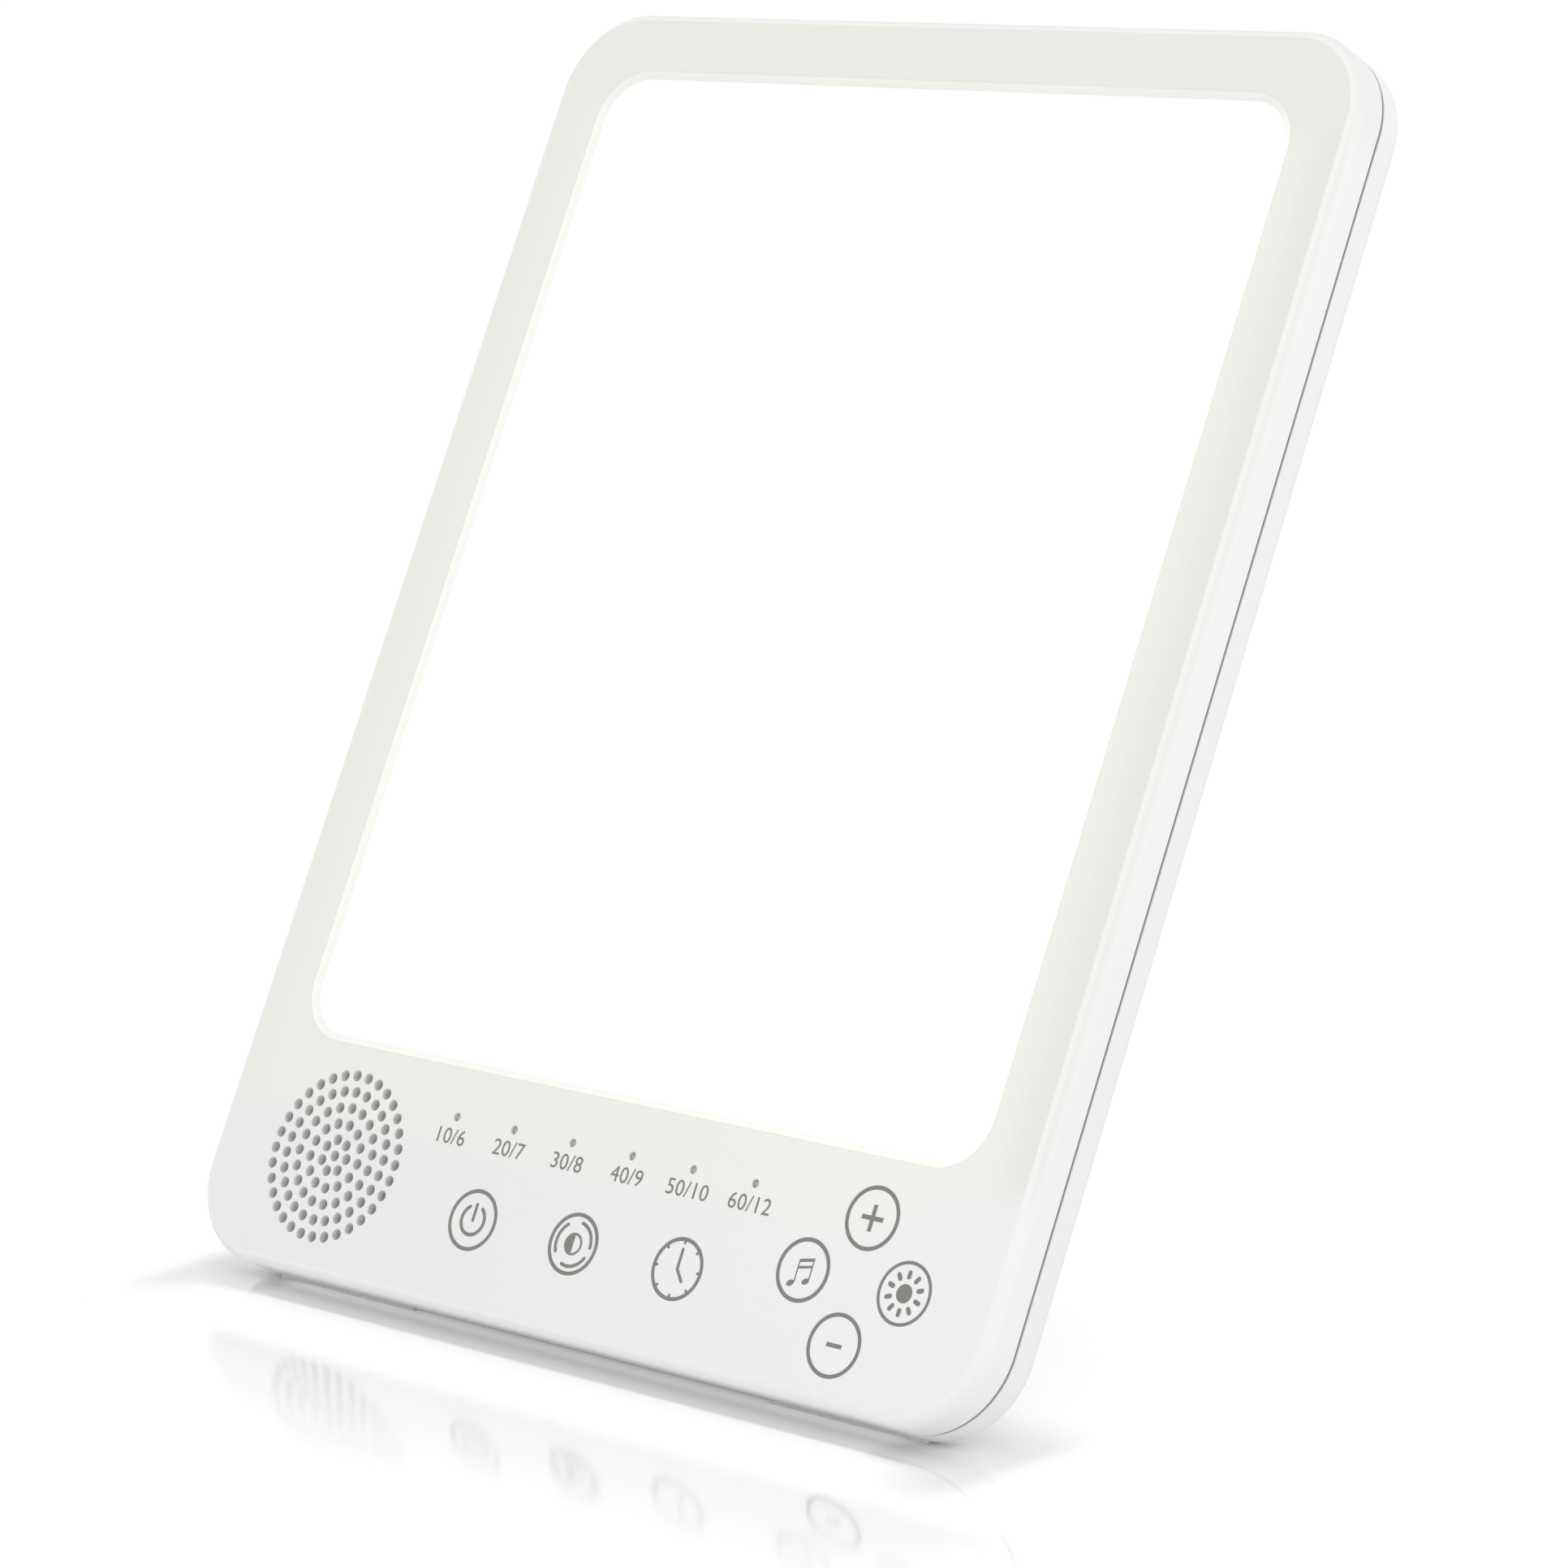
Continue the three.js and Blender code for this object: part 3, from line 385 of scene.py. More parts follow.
def rod(centre, radius, front, back):
    return bar(centre, ((radius, front), (radius, back)))


def dome(radius, front, rise):
    """The profile of a rounded tip: radius cos a at a depth of rise (1 - sin a), down to the rim."""
    turns = np.linspace(TIP, 0, 7)
    return [(radius * math.cos(a), front + rise * (1 - math.sin(a))) for a in turns]


def band(centre, mean, width, near, far, sides):
    """A closed flat ring: its outer and inner rims at both depths, joined all round."""
    radii, depths = (1, 1, -1, -1), (near, far, far, near)
    rims = [circle(centre, mean + side * width / 2, sides) for side in radii]
    points = np.stack([np.insert(rim, 1, depth, axis=1) for rim, depth in zip(rims, depths)])
    index = np.arange(4 * sides).reshape(4, sides)
    after = np.roll(index, -1, 0)
    quads = np.stack([index, after, np.roll(after, -1, 1), np.roll(index, -1, 1)], axis=-1)
    return points.reshape(-1, 3), quads.reshape(-1, 4).tolist()


def tub(box, radius, steps):
    """The rim of a box with round lower corners and square upper ones."""
    rim = outline(box, radius, steps)
    square = np.array([(box[2], box[3]), (box[0], box[3])])
    return np.vstack([rim[:steps + 1], square, rim[-steps - 1:]])


def flared(rim_at, floor, face, ease):
    """A pocket's cutter from its floor to a rear face, with a rounded edge at the face.

    At angle a the rim is ease (1 - cos a) wider, at ease (1 - sin a) below the face.
    """
    turns = np.linspace(0, QUARTER, 6)
    wider = ease * (1 - np.cos(turns))
    depths = face - ease * (1 - np.sin(turns))
    rings = [(rim_at(0), floor)] + [(rim_at(by), depth) for by, depth in zip(wider, depths)]
    return skin(rings + [(rim_at(ease), face + PAST)])


def sideways(shape):
    """The shape with its depth along x, its first axis along z and its second along y."""
    points, faces = shape
    return points[:, [1, 2, 0]], faces


def together(*shapes):
    """Several shapes that don't touch, as one: the faces of each count on from the points before it."""
    counts = np.cumsum([0] + [len(points) for points, _ in shapes])
    faces = [[i + start for i in face] for start, (_, made) in zip(counts, shapes) for face in made]
    return np.vstack([points for points, _ in shapes]), faces


def quad(left, bottom, right, top):
    return np.array([(right, bottom), (right, top), (left, top), (left, bottom)])


def capsule(start, end, width):
    """The rim of a line with round ends: a half circle about each end, joined by straight sides."""
    start, end = np.asarray(start, float), np.asarray(end, float)
    along = math.atan2(*(end - start)[::-1])
    tip = unit(along + np.linspace(-QUARTER, QUARTER, 9))
    return np.vstack([end + tip * width / 2, start - tip * width / 2])


def bow(radius, first, last, width):
    """The rim of an arc with round ends: out along the outer circle, back along the inner one."""
    turns = np.radians(np.linspace(first, last, 33))
    rays = unit(turns)
    caps = np.linspace(0, math.pi, 9)[1:-1]
    end = radius * rays[-1] + width / 2 * unit(turns[-1] + caps)
    start = radius * rays[0] + width / 2 * unit(turns[0] + math.pi + caps)
    return np.vstack([(radius + width / 2) * rays, end, (radius - width / 2) * rays[::-1], start])


# Meshes


def new_object(name, points, faces):
    mesh = bpy.data.meshes.new(name)
    mesh.from_pydata(points.tolist(), [], faces)
    mesh.update()
    return linked(name, mesh)


def linked(name, data):
    """A new object of some data, in the scene."""
    made = bpy.data.objects.new(name, data)
    bpy.context.scene.collection.objects.link(made)
    return made


def combine(piece, operation, other):
    """Joins another piece or shape to the piece (union) or cuts it out of it (difference)."""
    tool = new_object("tool", *other) if isinstance(other, tuple) else other
    step = piece.modifiers.new(operation, "BOOLEAN")
    step.solver = "MANIFOLD"
    step.operation = operation
    step.object = tool
    made = piece.evaluated_get(bpy.context.evaluated_depsgraph_get())
    old, piece.data = piece.data, bpy.data.meshes.new_from_object(made)
    piece.modifiers.clear()
    bpy.data.meshes.remove(old)
    bpy.data.meshes.remove(tool.data)
    if not len(piece.data.polygons):
        raise RuntimeError(f"{piece.name}: nothing is left after a {operation.lower()}")


def join(*shapes):
    return [("UNION", shape) for shape in shapes]


def cut(*shapes):
    return [("DIFFERENCE", shape) for shape in shapes]


def solid(name, first, steps):
    """A shape with others joined to it or cut out of it, in their order."""
    piece = new_object(name, *first)
    for operation, other in steps:
        combine(piece, operation, other)
    return piece


def shade(mesh, facing, crease=math.radians(24), level=math.radians(0.5)):
    """Smooth shading, except at edges sharper than the crease and round flat faces.

    A face counts as flat where its normal lies within the angle level of one of the directions.
    """
    count = len(mesh.polygons)
    normals = np.empty(count * 3)
    mesh.polygons.foreach_get("normal", normals)
    normals = normals.reshape(-1, 3)
    totals = np.empty(count, int)
    mesh.polygons.foreach_get("loop_total", totals)
    edges = np.empty(len(mesh.loops), int)
    mesh.loops.foreach_get("edge_index", edges)
    owners = np.repeat(np.arange(count), totals)[np.argsort(edges, kind="stable")]
    first, second = owners[0::2], owners[1::2]
    bend = np.einsum("ij,ij->i", normals[first], normals[second])
    flat = np.zeros(count, bool)
    for direction in facing:
        flat |= normals @ np.asarray(direction) > math.cos(level)
    sharp = (bend < math.cos(crease)) | (flat[first] != flat[second])
    mesh.shade_smooth()
    marks = mesh.attributes.get("sharp_edge") or mesh.attributes.new("sharp_edge", "BOOLEAN", "EDGE")
    marks.data.foreach_set("value", sharp)


def finish_piece(piece, place, paint, body, replaced=(), facing=FRONT_BACK):
    """Turns a finished piece into the lamp's frame, shades and paints it and lets it ride its body."""
    mesh = piece.data
    points = coordinates(mesh)
    shade(mesh, facing)
    mesh.vertices.foreach_set("co", place.world(points).ravel())
    mesh.update()
    mesh.materials.clear()
    mesh.materials.append(paint)
    if replaced:
        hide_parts(*replaced)
    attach(piece, body)


# Finishes


class Wire:
    """A socket of a material. Sums and products with numbers or other wires add Math nodes."""

    def __init__(self, paint, socket):
        self.paint = paint
        self.socket = socket

    def maths(self, operation, *values):
        return self.paint.node("Math", {"operation": operation}, dict(enumerate(values)))

    def __add__(self, other):
        return self.maths("ADD", self, other)

    def __sub__(self, other):
        return self.maths("SUBTRACT", self, other)

    def __rsub__(self, other):
        return self.maths("SUBTRACT", other, self)

    def __mul__(self, other):
        return self.maths("MULTIPLY", self, other)

    def __truediv__(self, other):
        return self.maths("DIVIDE", self, other)

    def __pow__(self, other):
        return self.maths("POWER", self, other)

    def __abs__(self):
        return self.maths("ABSOLUTE", self)

    def floored(self):
        """The value, or 0 where it is negative."""
        return self.maths("MAXIMUM", self, 0.0)

    __radd__ = __add__
    __rmul__ = __mul__


class Tree:
    """The nodes of a material or of the world, being made."""

    def __init__(self, owner):
        owner.use_nodes = True
        self.tree = owner.node_tree
        self.tree.nodes.clear()

    def node(self, kind, settings=None, sockets=None, output=0):
        """A node of a type: its settings are made first, and then its sockets are set or linked."""
        made = self.tree.nodes.new("ShaderNode" + kind)
        for key, value in (settings or {}).items():
            setattr(made, key, value)
        for key, value in (sockets or {}).items():
            if isinstance(value, Wire):
                self.tree.links.new(value.socket, made.inputs[key])
            elif value is not None:
                made.inputs[key].default_value = value
        return Wire(self, made.outputs[output]) if len(made.outputs) else None


class Paint(Tree):
    """A material being made, on object coordinates turned into a place's frame."""

    def __init__(self, name, place=None):
        self.material = bpy.data.materials.new(name)
        super().__init__(self.material)
        self.spot = self.node("TexCoord", output="Object")
        if place is not None:
            turn = math.atan2(-place.axes[1][2], place.axes[1][1])
            sockets = {"Vector": self.spot, "Location": tuple(-place.start), "Rotation": (turn, 0, 0)}
            self.spot = self.node("Mapping", sockets=sockets)

    def axis(self, letter):
        return self.node("SeparateXYZ", sockets={0: self.spot}, output=letter)

    def noise(self, size, detail=2.0):
        """Noise from 0 to 1 whose features are about as large as size."""
        sockets = {"Vector": self.spot, "Scale": 1 / size, "Detail": detail}
        return self.node("TexNoise", sockets=sockets)

    def step(self, value, low, high):
        """A smooth step from 0 where the value is low to 1 where it is high."""
        sockets = {0: value, 1: low, 2: high, 3: 0.0, 4: 1.0}
        return self.node("MapRange", {"interpolation_type": "SMOOTHSTEP"}, sockets)

    def drop(self, value, low, high):
        """A smooth step from 1 where the value is low to 0 where it is high."""
        return 1 - self.step(value, low, high)

    def mix(self, share, first, second):
        """The first colour where share is 0 and the second where it is 1."""
        sockets = {0: share, 6: opaque(first), 7: opaque(second)}
        return self.node("Mix", {"data_type": "RGBA"}, sockets, output=2)

    def tint(self, share, value, first, second):
        """A colour, made lighter or darker by the first share of itself up to the second one."""
        return self.mix(share, tinted(value, first), tinted(value, second))

    def outside(self, box, radius):
        """How far a point lies outside a rounded box seen from the front, in its own plane.

        The root of the squared reaches past the box inset by the radius, less the radius.
        """
        left, bottom, right, top = inset(box, radius)
        across = (abs(self.axis("X") - (left + right) / 2) - (right - left) / 2).floored()
        upwards = (abs(self.axis("Z") - (bottom + top) / 2) - (top - bottom) / 2).floored()
        return (across * across + upwards * upwards) ** 0.5 - radius

    def wave(self, letter, pitch):
        """A sine along an axis, from -1 to 1, once every pitch."""
        return self.node("Math", {"operation": "SINE"}, {0: self.axis(letter) * (TURN / pitch)})

    def bump(self, height, depth):
        """A normal from a height of 0 to 1 that stands for a depth in metres."""
        return self.node("Bump", sockets={"Distance": depth, "Height": height})

    def grain(self, size=GRAIN, depth=GRAIN_DEPTH):
        """The fine spark-eroded grain of moulded plastic."""
        return self.bump(self.noise(size), depth)

    def surface(self, colour, roughness, normal=None, **constants):
        """The finish: a principled surface on the material's output."""
        sockets = {"Base Color": opaque(colour), "Roughness": roughness, "Normal": normal, **constants}
        made = self.node("BsdfPrincipled", sockets=sockets)
        self.node("OutputMaterial", sockets={0: made})
        return self.material


def opaque(value):
    return value if isinstance(value, Wire) or len(value) == 4 else (*value, 1.0)


def tinted(value, share):
    """A colour made lighter or darker by a share of itself."""
    return tuple(min(1.0, part * (1 + share)) for part in value)


def moulded(name, shade_in, rough=0.38, grain=GRAIN, place=None, depth=GRAIN_DEPTH):
    """Moulded plastic: a fine grain, and faint broad changes in its tone and gloss."""
    paint = Paint(name, place)
    broad = paint.noise(BROAD)
    tone = paint.tint(broad, shade_in, -0.012, 0.012)
    return paint.surface(tone, rough - 0.03 + 0.06 * broad, paint.grain(grain, depth))


def bezel_tone_and_painted_light(paint, colours, across, depth, height, mouth):
    """Warm white on the face round the window, and neutral white below it and on the sides.

    Below the window's top the warm white has painted light next to the lip. Towards the right, that
    part and the neutral white are painted lighter still, and the rest of the warm white is painted a
    little darker: painted light and shade.
    """
    top_fade, lip_reach, side_depth = 12 * MM, 9 * MM, 2 * MM
    east_start, east_end = -30 * MM, 60 * MM
    warm_low, warm_high, warm_rise = 25 * MM, 33 * MM, 11 * MM
    rise_start, rise_end = 55 * MM, 80 * MM
    left, _, right, top = mouth
    beyond = abs(across - (left + right) / 2) - (right - left) / 2
    # Painted light next to the lip, and painted light and shade that change towards the right
    below = paint.drop(height - top, -top_fade, 0.0)
    near = below * paint.drop(beyond, 0.0, lip_reach)
    painted_light_right = below * paint.step(across, east_start, east_end)
    outer = paint.tint(painted_light_right, colours.warm, 0, -0.03)
    inner = paint.tint(painted_light_right, colours.warm, 0.025, 0.06)
    rise = warm_rise * paint.step(across, rise_start, rise_end)
    warmth = paint.step(height - rise, warm_low, warm_high) * paint.drop(depth, side_depth / 10, side_depth)
    plain = paint.tint(painted_light_right, colours.shell, -0.015, 0.035)
    return paint.mix(warmth, plain, paint.mix(near, outer, inner))


def painted_floor_light(paint, height, shell):
    """Painted light from the floor: 1 at the case's lowest edge, down to 0 above it."""
    return paint.drop(height, 0.0, shell.front_edge)


def painted_seam_shade(shell, seam, low):
    """How much shade is painted into the seam: half as much at the lowest edge."""
    return shell.seam_shade * seam * (1 - 0.5 * low)


def bezel_white(colours, shell, window):
    """The front half's white, with painted shade in the seam and its lowest edge painted lighter.

    The rounded edge starts with a painted highlight line, the lip starts with a line of painted
    shade, and the ledge round the lit sheet has a faint painted glow.
    """
    line_start, line_soft, line_end = 0.15 * MM, 0.1 * MM, 1.3 * MM
    crease_start, crease_soft, crease_end = -0.05 * MM, 0.1 * MM, 0.25 * MM
    ledge_shade, ledge_soft = 0.05 * MM, 0.2 * MM
    floor_light_share, broad_share, crease_shade_share = 0.4, 0.02, 0.05
    paint = Paint("bezel_white", PANEL)
    broad = paint.noise(BROAD)
    across, depth, height = (paint.axis(letter) for letter in "XYZ")
    mouth = inset(window_opening(), -window.lip_run - window.ledge)
    tone = bezel_tone_and_painted_light(paint, colours, across, depth, height, mouth)
    # Painted highlight: a lighter line where the rounded edge leaves the front face
    past = paint.outside(inset(case_box(), shell.front_edge), shell.corner - shell.front_edge)
    line = paint.step(past, -line_soft, line_start) * paint.drop(past, 4 * line_soft, line_end)
    tone = paint.mix(line, tone, tinted(colours.shell, 0.06))
    # Painted light: the lowest edge is made lighter for the light that it takes from the floor
    low = painted_floor_light(paint, height, shell)
    tone = paint.mix(floor_light_share * low, tone, WHITE)
    # Faint random tone, and painted shade in the seam
    seam_start = shell.bezel_depth - 1.5 * shell.seam_edge
    seam = paint.step(depth, seam_start, shell.bezel_depth - shell.seam_edge)
    tone = paint.mix(broad_share * broad + painted_seam_shade(shell, seam, low), tone, BLACK)
    # Painted shade: a darker line in the crease where the lip leaves the front face
    rim = paint.outside(mouth, window.corner)
    crease = paint.step(rim, crease_start - crease_soft, crease_start)
    crease = crease * paint.drop(rim, crease_soft, crease_end)
    tone = paint.mix(crease_shade_share * crease, tone, BLACK)
    # Painted glow: the ledge round the sheet emits a little light, though it is no lamp
    ledge_depth = window.lip_depth - ledge_shade
    ledge = paint.drop(rim, -ledge_soft, 0.0) * paint.step(depth, ledge_depth - ledge_soft, ledge_depth)
    glow = paint.mix(ledge, BLACK, (window.painted_ledge_glow,) * 3)
    lit = {"Emission Color": glow, "Emission Strength": 1.0}
    return paint.surface(tone, 0.33 + 0.06 * broad, paint.grain(), **lit)


def cover_white(colours, shell, case):
    """The rear half's white, with painted shade down in the seam and its lowest edge painted lighter.

    The shade is painted on the seam behind the case's outer face, and on the eased edge along it.
    """
    buried_soft, floor_light_share = 0.3 * MM, 0.8
    paint = Paint("cover_white", PANEL)
    broad = paint.noise(BROAD)
    tone = paint.tint(broad, colours.shell, -0.012, 0.012)
    inwards = paint.outside(inset(case, shell.side_wall / 2), shell.corner - shell.side_wall / 2)
    buried = paint.drop(inwards, -buried_soft, buried_soft)
    depth, height = paint.axis("Y"), paint.axis("Z")
    front = shell.bezel_depth + shell.gap
    # Painted light: the lowest edge is made lighter for the light that it takes from the floor
    low = painted_floor_light(paint, height, shell)
    tone = paint.mix(floor_light_share * low, tone, WHITE)
    # Painted shade: the seam and its eased edge are darkened
    seam = buried * paint.drop(depth, front + shell.gap, front + 2 * shell.gap)
    edge = paint.drop(depth, front + shell.seam_edge / 2, front + 1.5 * shell.seam_edge)
    tone = paint.mix(painted_seam_shade(shell, seam + edge - seam * edge, low), tone, BLACK)
    return paint.surface(tone, 0.37 + 0.06 * broad, paint.grain())


def lit_sheet(colours, strength):
    """The opal sheet, lit from its sides: full white, and a hair weaker at its upper and lower ends."""
    end_start, end_full = 0.86, 0.97
    paint = Paint("lit_sheet", PANEL)
    _, bottom, _, top = PANEL.flat_box("diffuser_panel")
    middle, reach = (bottom + top) / 2, (top - bottom) / 2
    ends = paint.step(abs(paint.axis("Z") - middle) / reach, end_start, end_full)
    glow = paint.tint(ends, colours.lit, 0, -0.02)
    rough = 0.3 + 0.06 * paint.noise(0.5 * MM)
    return paint.surface(colours.lit, rough, **{"Emission Color": glow, "Emission Strength": strength})


def woven(name, shade_in, pitch=0.3 * MM, contrast=0.3):
    """Woven cloth: two crossed waves of threads, lighter on their crowns."""
    paint = Paint(name, PANEL)
    weave = 0.5 + 0.5 * paint.wave("X", pitch) * paint.wave("Z", pitch)
    tone = paint.tint(weave, shade_in, -contrast, contrast)
    return paint.surface(tone, 0.85 + 0.1 * weave, paint.bump(weave, contrast * 0.1 * MM))


def plated(name, shade_in, rough=0.28):
    """Bright metal with faint worked marks."""
    paint = Paint(name)
    marks = paint.noise(0.15 * MM, detail=3.0)
    tone = paint.tint(marks, shade_in, -0.06, 0.04)
    grain = paint.bump(marks, 0.002 * MM)
    return paint.surface(tone, rough - 0.06 + 0.12 * marks, grain, Metallic=1.0)


def clear_sheet(name, shade_in):
    """Clear acrylic with a faint haze."""
    paint = Paint(name)
    haze = paint.noise(2 * MM)
    tone = paint.tint(haze, shade_in, -0.02, 0)
    acrylic = {"Transmission Weight": 0.9, "IOR": 1.49}
    return paint.surface(tone, 0.05 + 0.05 * haze, **acrylic)


def circuit(name, mask, track):
    """Solder mask over copper tracks: thin lines both ways, broken up by noise."""
    pitch, patch, raised = 0.9 * MM, 5 * MM, 0.02 * MM
    paint = Paint(name, PANEL)
    across, along = (paint.step(paint.wave(letter, pitch), 0.7, 0.85) for letter in "XZ")
    choice = paint.step(paint.noise(patch), 0.48, 0.52)
    lines = across * choice + along * (1 - choice)
    tone = paint.mix(lines, mask, track)
    return paint.surface(tone, 0.35 + 0.1 * lines, paint.bump(lines, raised))


def printed(name, ink):
    """Screen-printed ink, a little uneven in tone."""
    paint = Paint(name, PANEL)
    speckle = paint.noise(0.25 * MM, detail=3.0)
    tone = paint.tint(speckle, ink, -0.05, 0.05)
    return paint.surface(tone, 0.5 + 0.1 * speckle, paint.bump(speckle, 0.003 * MM))


# Measures taken from the frame


def lamp_settings():
    return bpy.context.scene.lamp


def case_box():
    return PANEL.flat_box("front_bezel", "rear_cover")


def case_rim(by=0.0):
    """The case's outline, inset all round."""
    shell = lamp_settings().shell
    return outline(inset(case_box(), by), shell.corner - by, shell.corner_steps)


def window_opening():
    """The window's opening at the ledge: the lit sheet's box without the flange behind the bezel."""
    return inset(PANEL.flat_box("diffuser_panel"), lamp_settings().window.flange)


def centres(kind, count):
    """The middles of the numbered nodes of a kind, seen from the front."""
    return [PANEL.middle(f"{kind}_{i + 1}") for i in range(count)]


def back_face():
    return PANEL.depths("rear_cover")[1]


def well_floor():
    return back_face() - lamp_settings().rear.well_depth


def well_front():
    return well_floor() - lamp_settings().rear.well_wall


def pivot():
    """The hinge's depth and height in the panel's frame."""
    return PANEL.local(LEG.world([(0, 0, 0)]))[0][1:]


def recess_box():
    """The leg's recess, with a gap round the folded leg."""
    rear = lamp_settings().rear
    left, bottom, right, _ = LEG.flat_box("stand_leg", "stand_shoe")
    height = pivot()[1]
    sole, heel = height + bottom - rear.recess_end, height + heel_reach() + rear.recess_end
    return (left - rear.recess_side, sole, right + rear.recess_side, heel)


def heel_reach():
    """How far the heel's corner sweeps round the hinge: the root of its depth and height squared."""
    _, (_, back, top) = LEG.box("stand_leg")
    return math.hypot(back, top)


def recess_floor():
    return pivot()[0] - LEG.depths("stand_leg")[1] - lamp_settings().rear.leg_gap


def foot_blocks(margin):
    """The blocks of the two feet, grown on every side by a margin, in the panel's frame."""
    made = []
    for foot in FEET:
        front, back = FLOOR.depths(foot)
        points, faces = block(inset(FLOOR.flat_box(foot), -margin), front - margin, back + margin)
        made.append((PANEL.local(FLOOR.world(points)), faces))
    return made


def inlet_nose_radius():
    """The nose is what reaches behind the body's back: the node's points furthest back."""
    points = PANEL.local(points_of("power_inlet"))
    last = points[points[:, 1] > points[:, 1].max() - SLACK]
    return (last[:, 0].max() - last[:, 0].min()) / 2


# Pieces


class BuildBezel(bpy.types.Operator):
    """Builds the front half of the case, with its window, grille, indicator holes, bosses and posts"""

    bl_idname = "lamp.front_bezel"
    bl_label = "Front bezel"

    def execute(self, context):
        lamp = lamp_settings()
        shell, grille = lamp.shell, lamp.grille
        edge = shell.front_edge / (1 - math.sin(shell.front_crease))
        rings = eased(case_box(), shell.corner, edge, 0, 1, shell.edge_steps, shell.corner_steps,
                      shell.front_crease)
        rings.append((case_rim(), shell.bezel_depth - shell.seam_edge))
        rings.append((case_rim(shell.seam_edge), shell.bezel_depth))
        hollow = prism(case_rim(shell.side_wall), shell.front_wall, shell.bezel_depth + PAST)

        root = shell.front_wall - shell.gap
        boss_back = well_front() - shell.gap
        board_front = PANEL.depths("touch_pad_power")[1]
        speaker_front = PANEL.depths("speaker_frame")[0] - shell.gap
        stands, bores = [], []
        for kind, count, radius, back, start in (
            ("case_screw", 6, shell.boss, boss_back, shell.front_wall),
            ("board_screw", 4, shell.post, board_front, shell.front_wall / 2),
            ("speaker_screw", 2, shell.post, speaker_front, shell.front_wall / 2),
        ):
            for place in centres(kind, count):
                stands.append(rod(place, radius, root, back))
                bores.append(rod(place, shell.shank, start, boss_back + PAST))
        holes = [front_hole(place, grille.hole) for place in grille_places(grille.pitch)]
        holes += [front_hole(place, grille.dot) for place in centres("indicator_pipe", 6)]
        steps = cut(hollow) + join(*stands) + cut(together(*bores), window_cutter(), together(*holes))
        piece = solid("bezel", skin(rings), steps)
        paint = bezel_white(lamp.colours, shell, lamp.window)
        finish_piece(piece, PANEL, paint, "panel", ["front_bezel"])
        return {"FINISHED"}


def front_hole(centre, radius):
    """A cutter for a round hole through the front face, with an eased rim."""
    lamp = lamp_settings()
    rim, through = lamp.grille.rim, lamp.shell.front_wall + PAST
    profile = ((radius + rim, -PAST), (radius + rim, 0), (radius, rim), (radius, through))
    return bar(centre, profile, lamp.grille.sides)


def grille_places(pitch):
    """A hole in the middle and rings of holes: the middle plus each ring's reach times (cos a, sin a)."""
    middle = PANEL.middle("speaker_cloth")
    places = [middle[None]]
    for ring, (count, share) in enumerate(zip(GRILLE_COUNTS, GRILLE_TURN_SHARES)):
        places.append(middle + pitch * (ring + 1) * unit(TURN * (share + np.arange(count) / count)))
    return np.vstack(places)


def window_cutter():
    """The window's cutter: a soft edge, the bevelled lip, a flat ledge and the opening itself.

    Along the soft edge, at angle a, the rim is r sin a further in and r (1 - cos a) deeper.
    """
    lamp = lamp_settings()
    window, steps, opening = lamp.window, lamp.shell.corner_steps, window_opening()
    slope = math.atan2(window.lip_depth, window.lip_run)
    turns = np.linspace(0, slope, 6)
    inwards = window.soft_edge * (np.sin(turns) - math.tan(slope / 2))
    deeper = window.soft_edge * (1 - np.cos(turns))
    wide = window.lip_run + window.ledge

    def rim(by):
        return outline(inset(opening, by - wide), window.corner - by, steps)

    rings = [(rim(inwards[0]), -PAST)] + [(rim(by), depth) for by, depth in zip(inwards, deeper)]
    rings += [(rim(window.lip_run), window.lip_depth), (rim(wide), window.lip_depth)]
    return skin(rings + [(rim(wide), 2 * lamp.shell.front_wall)])


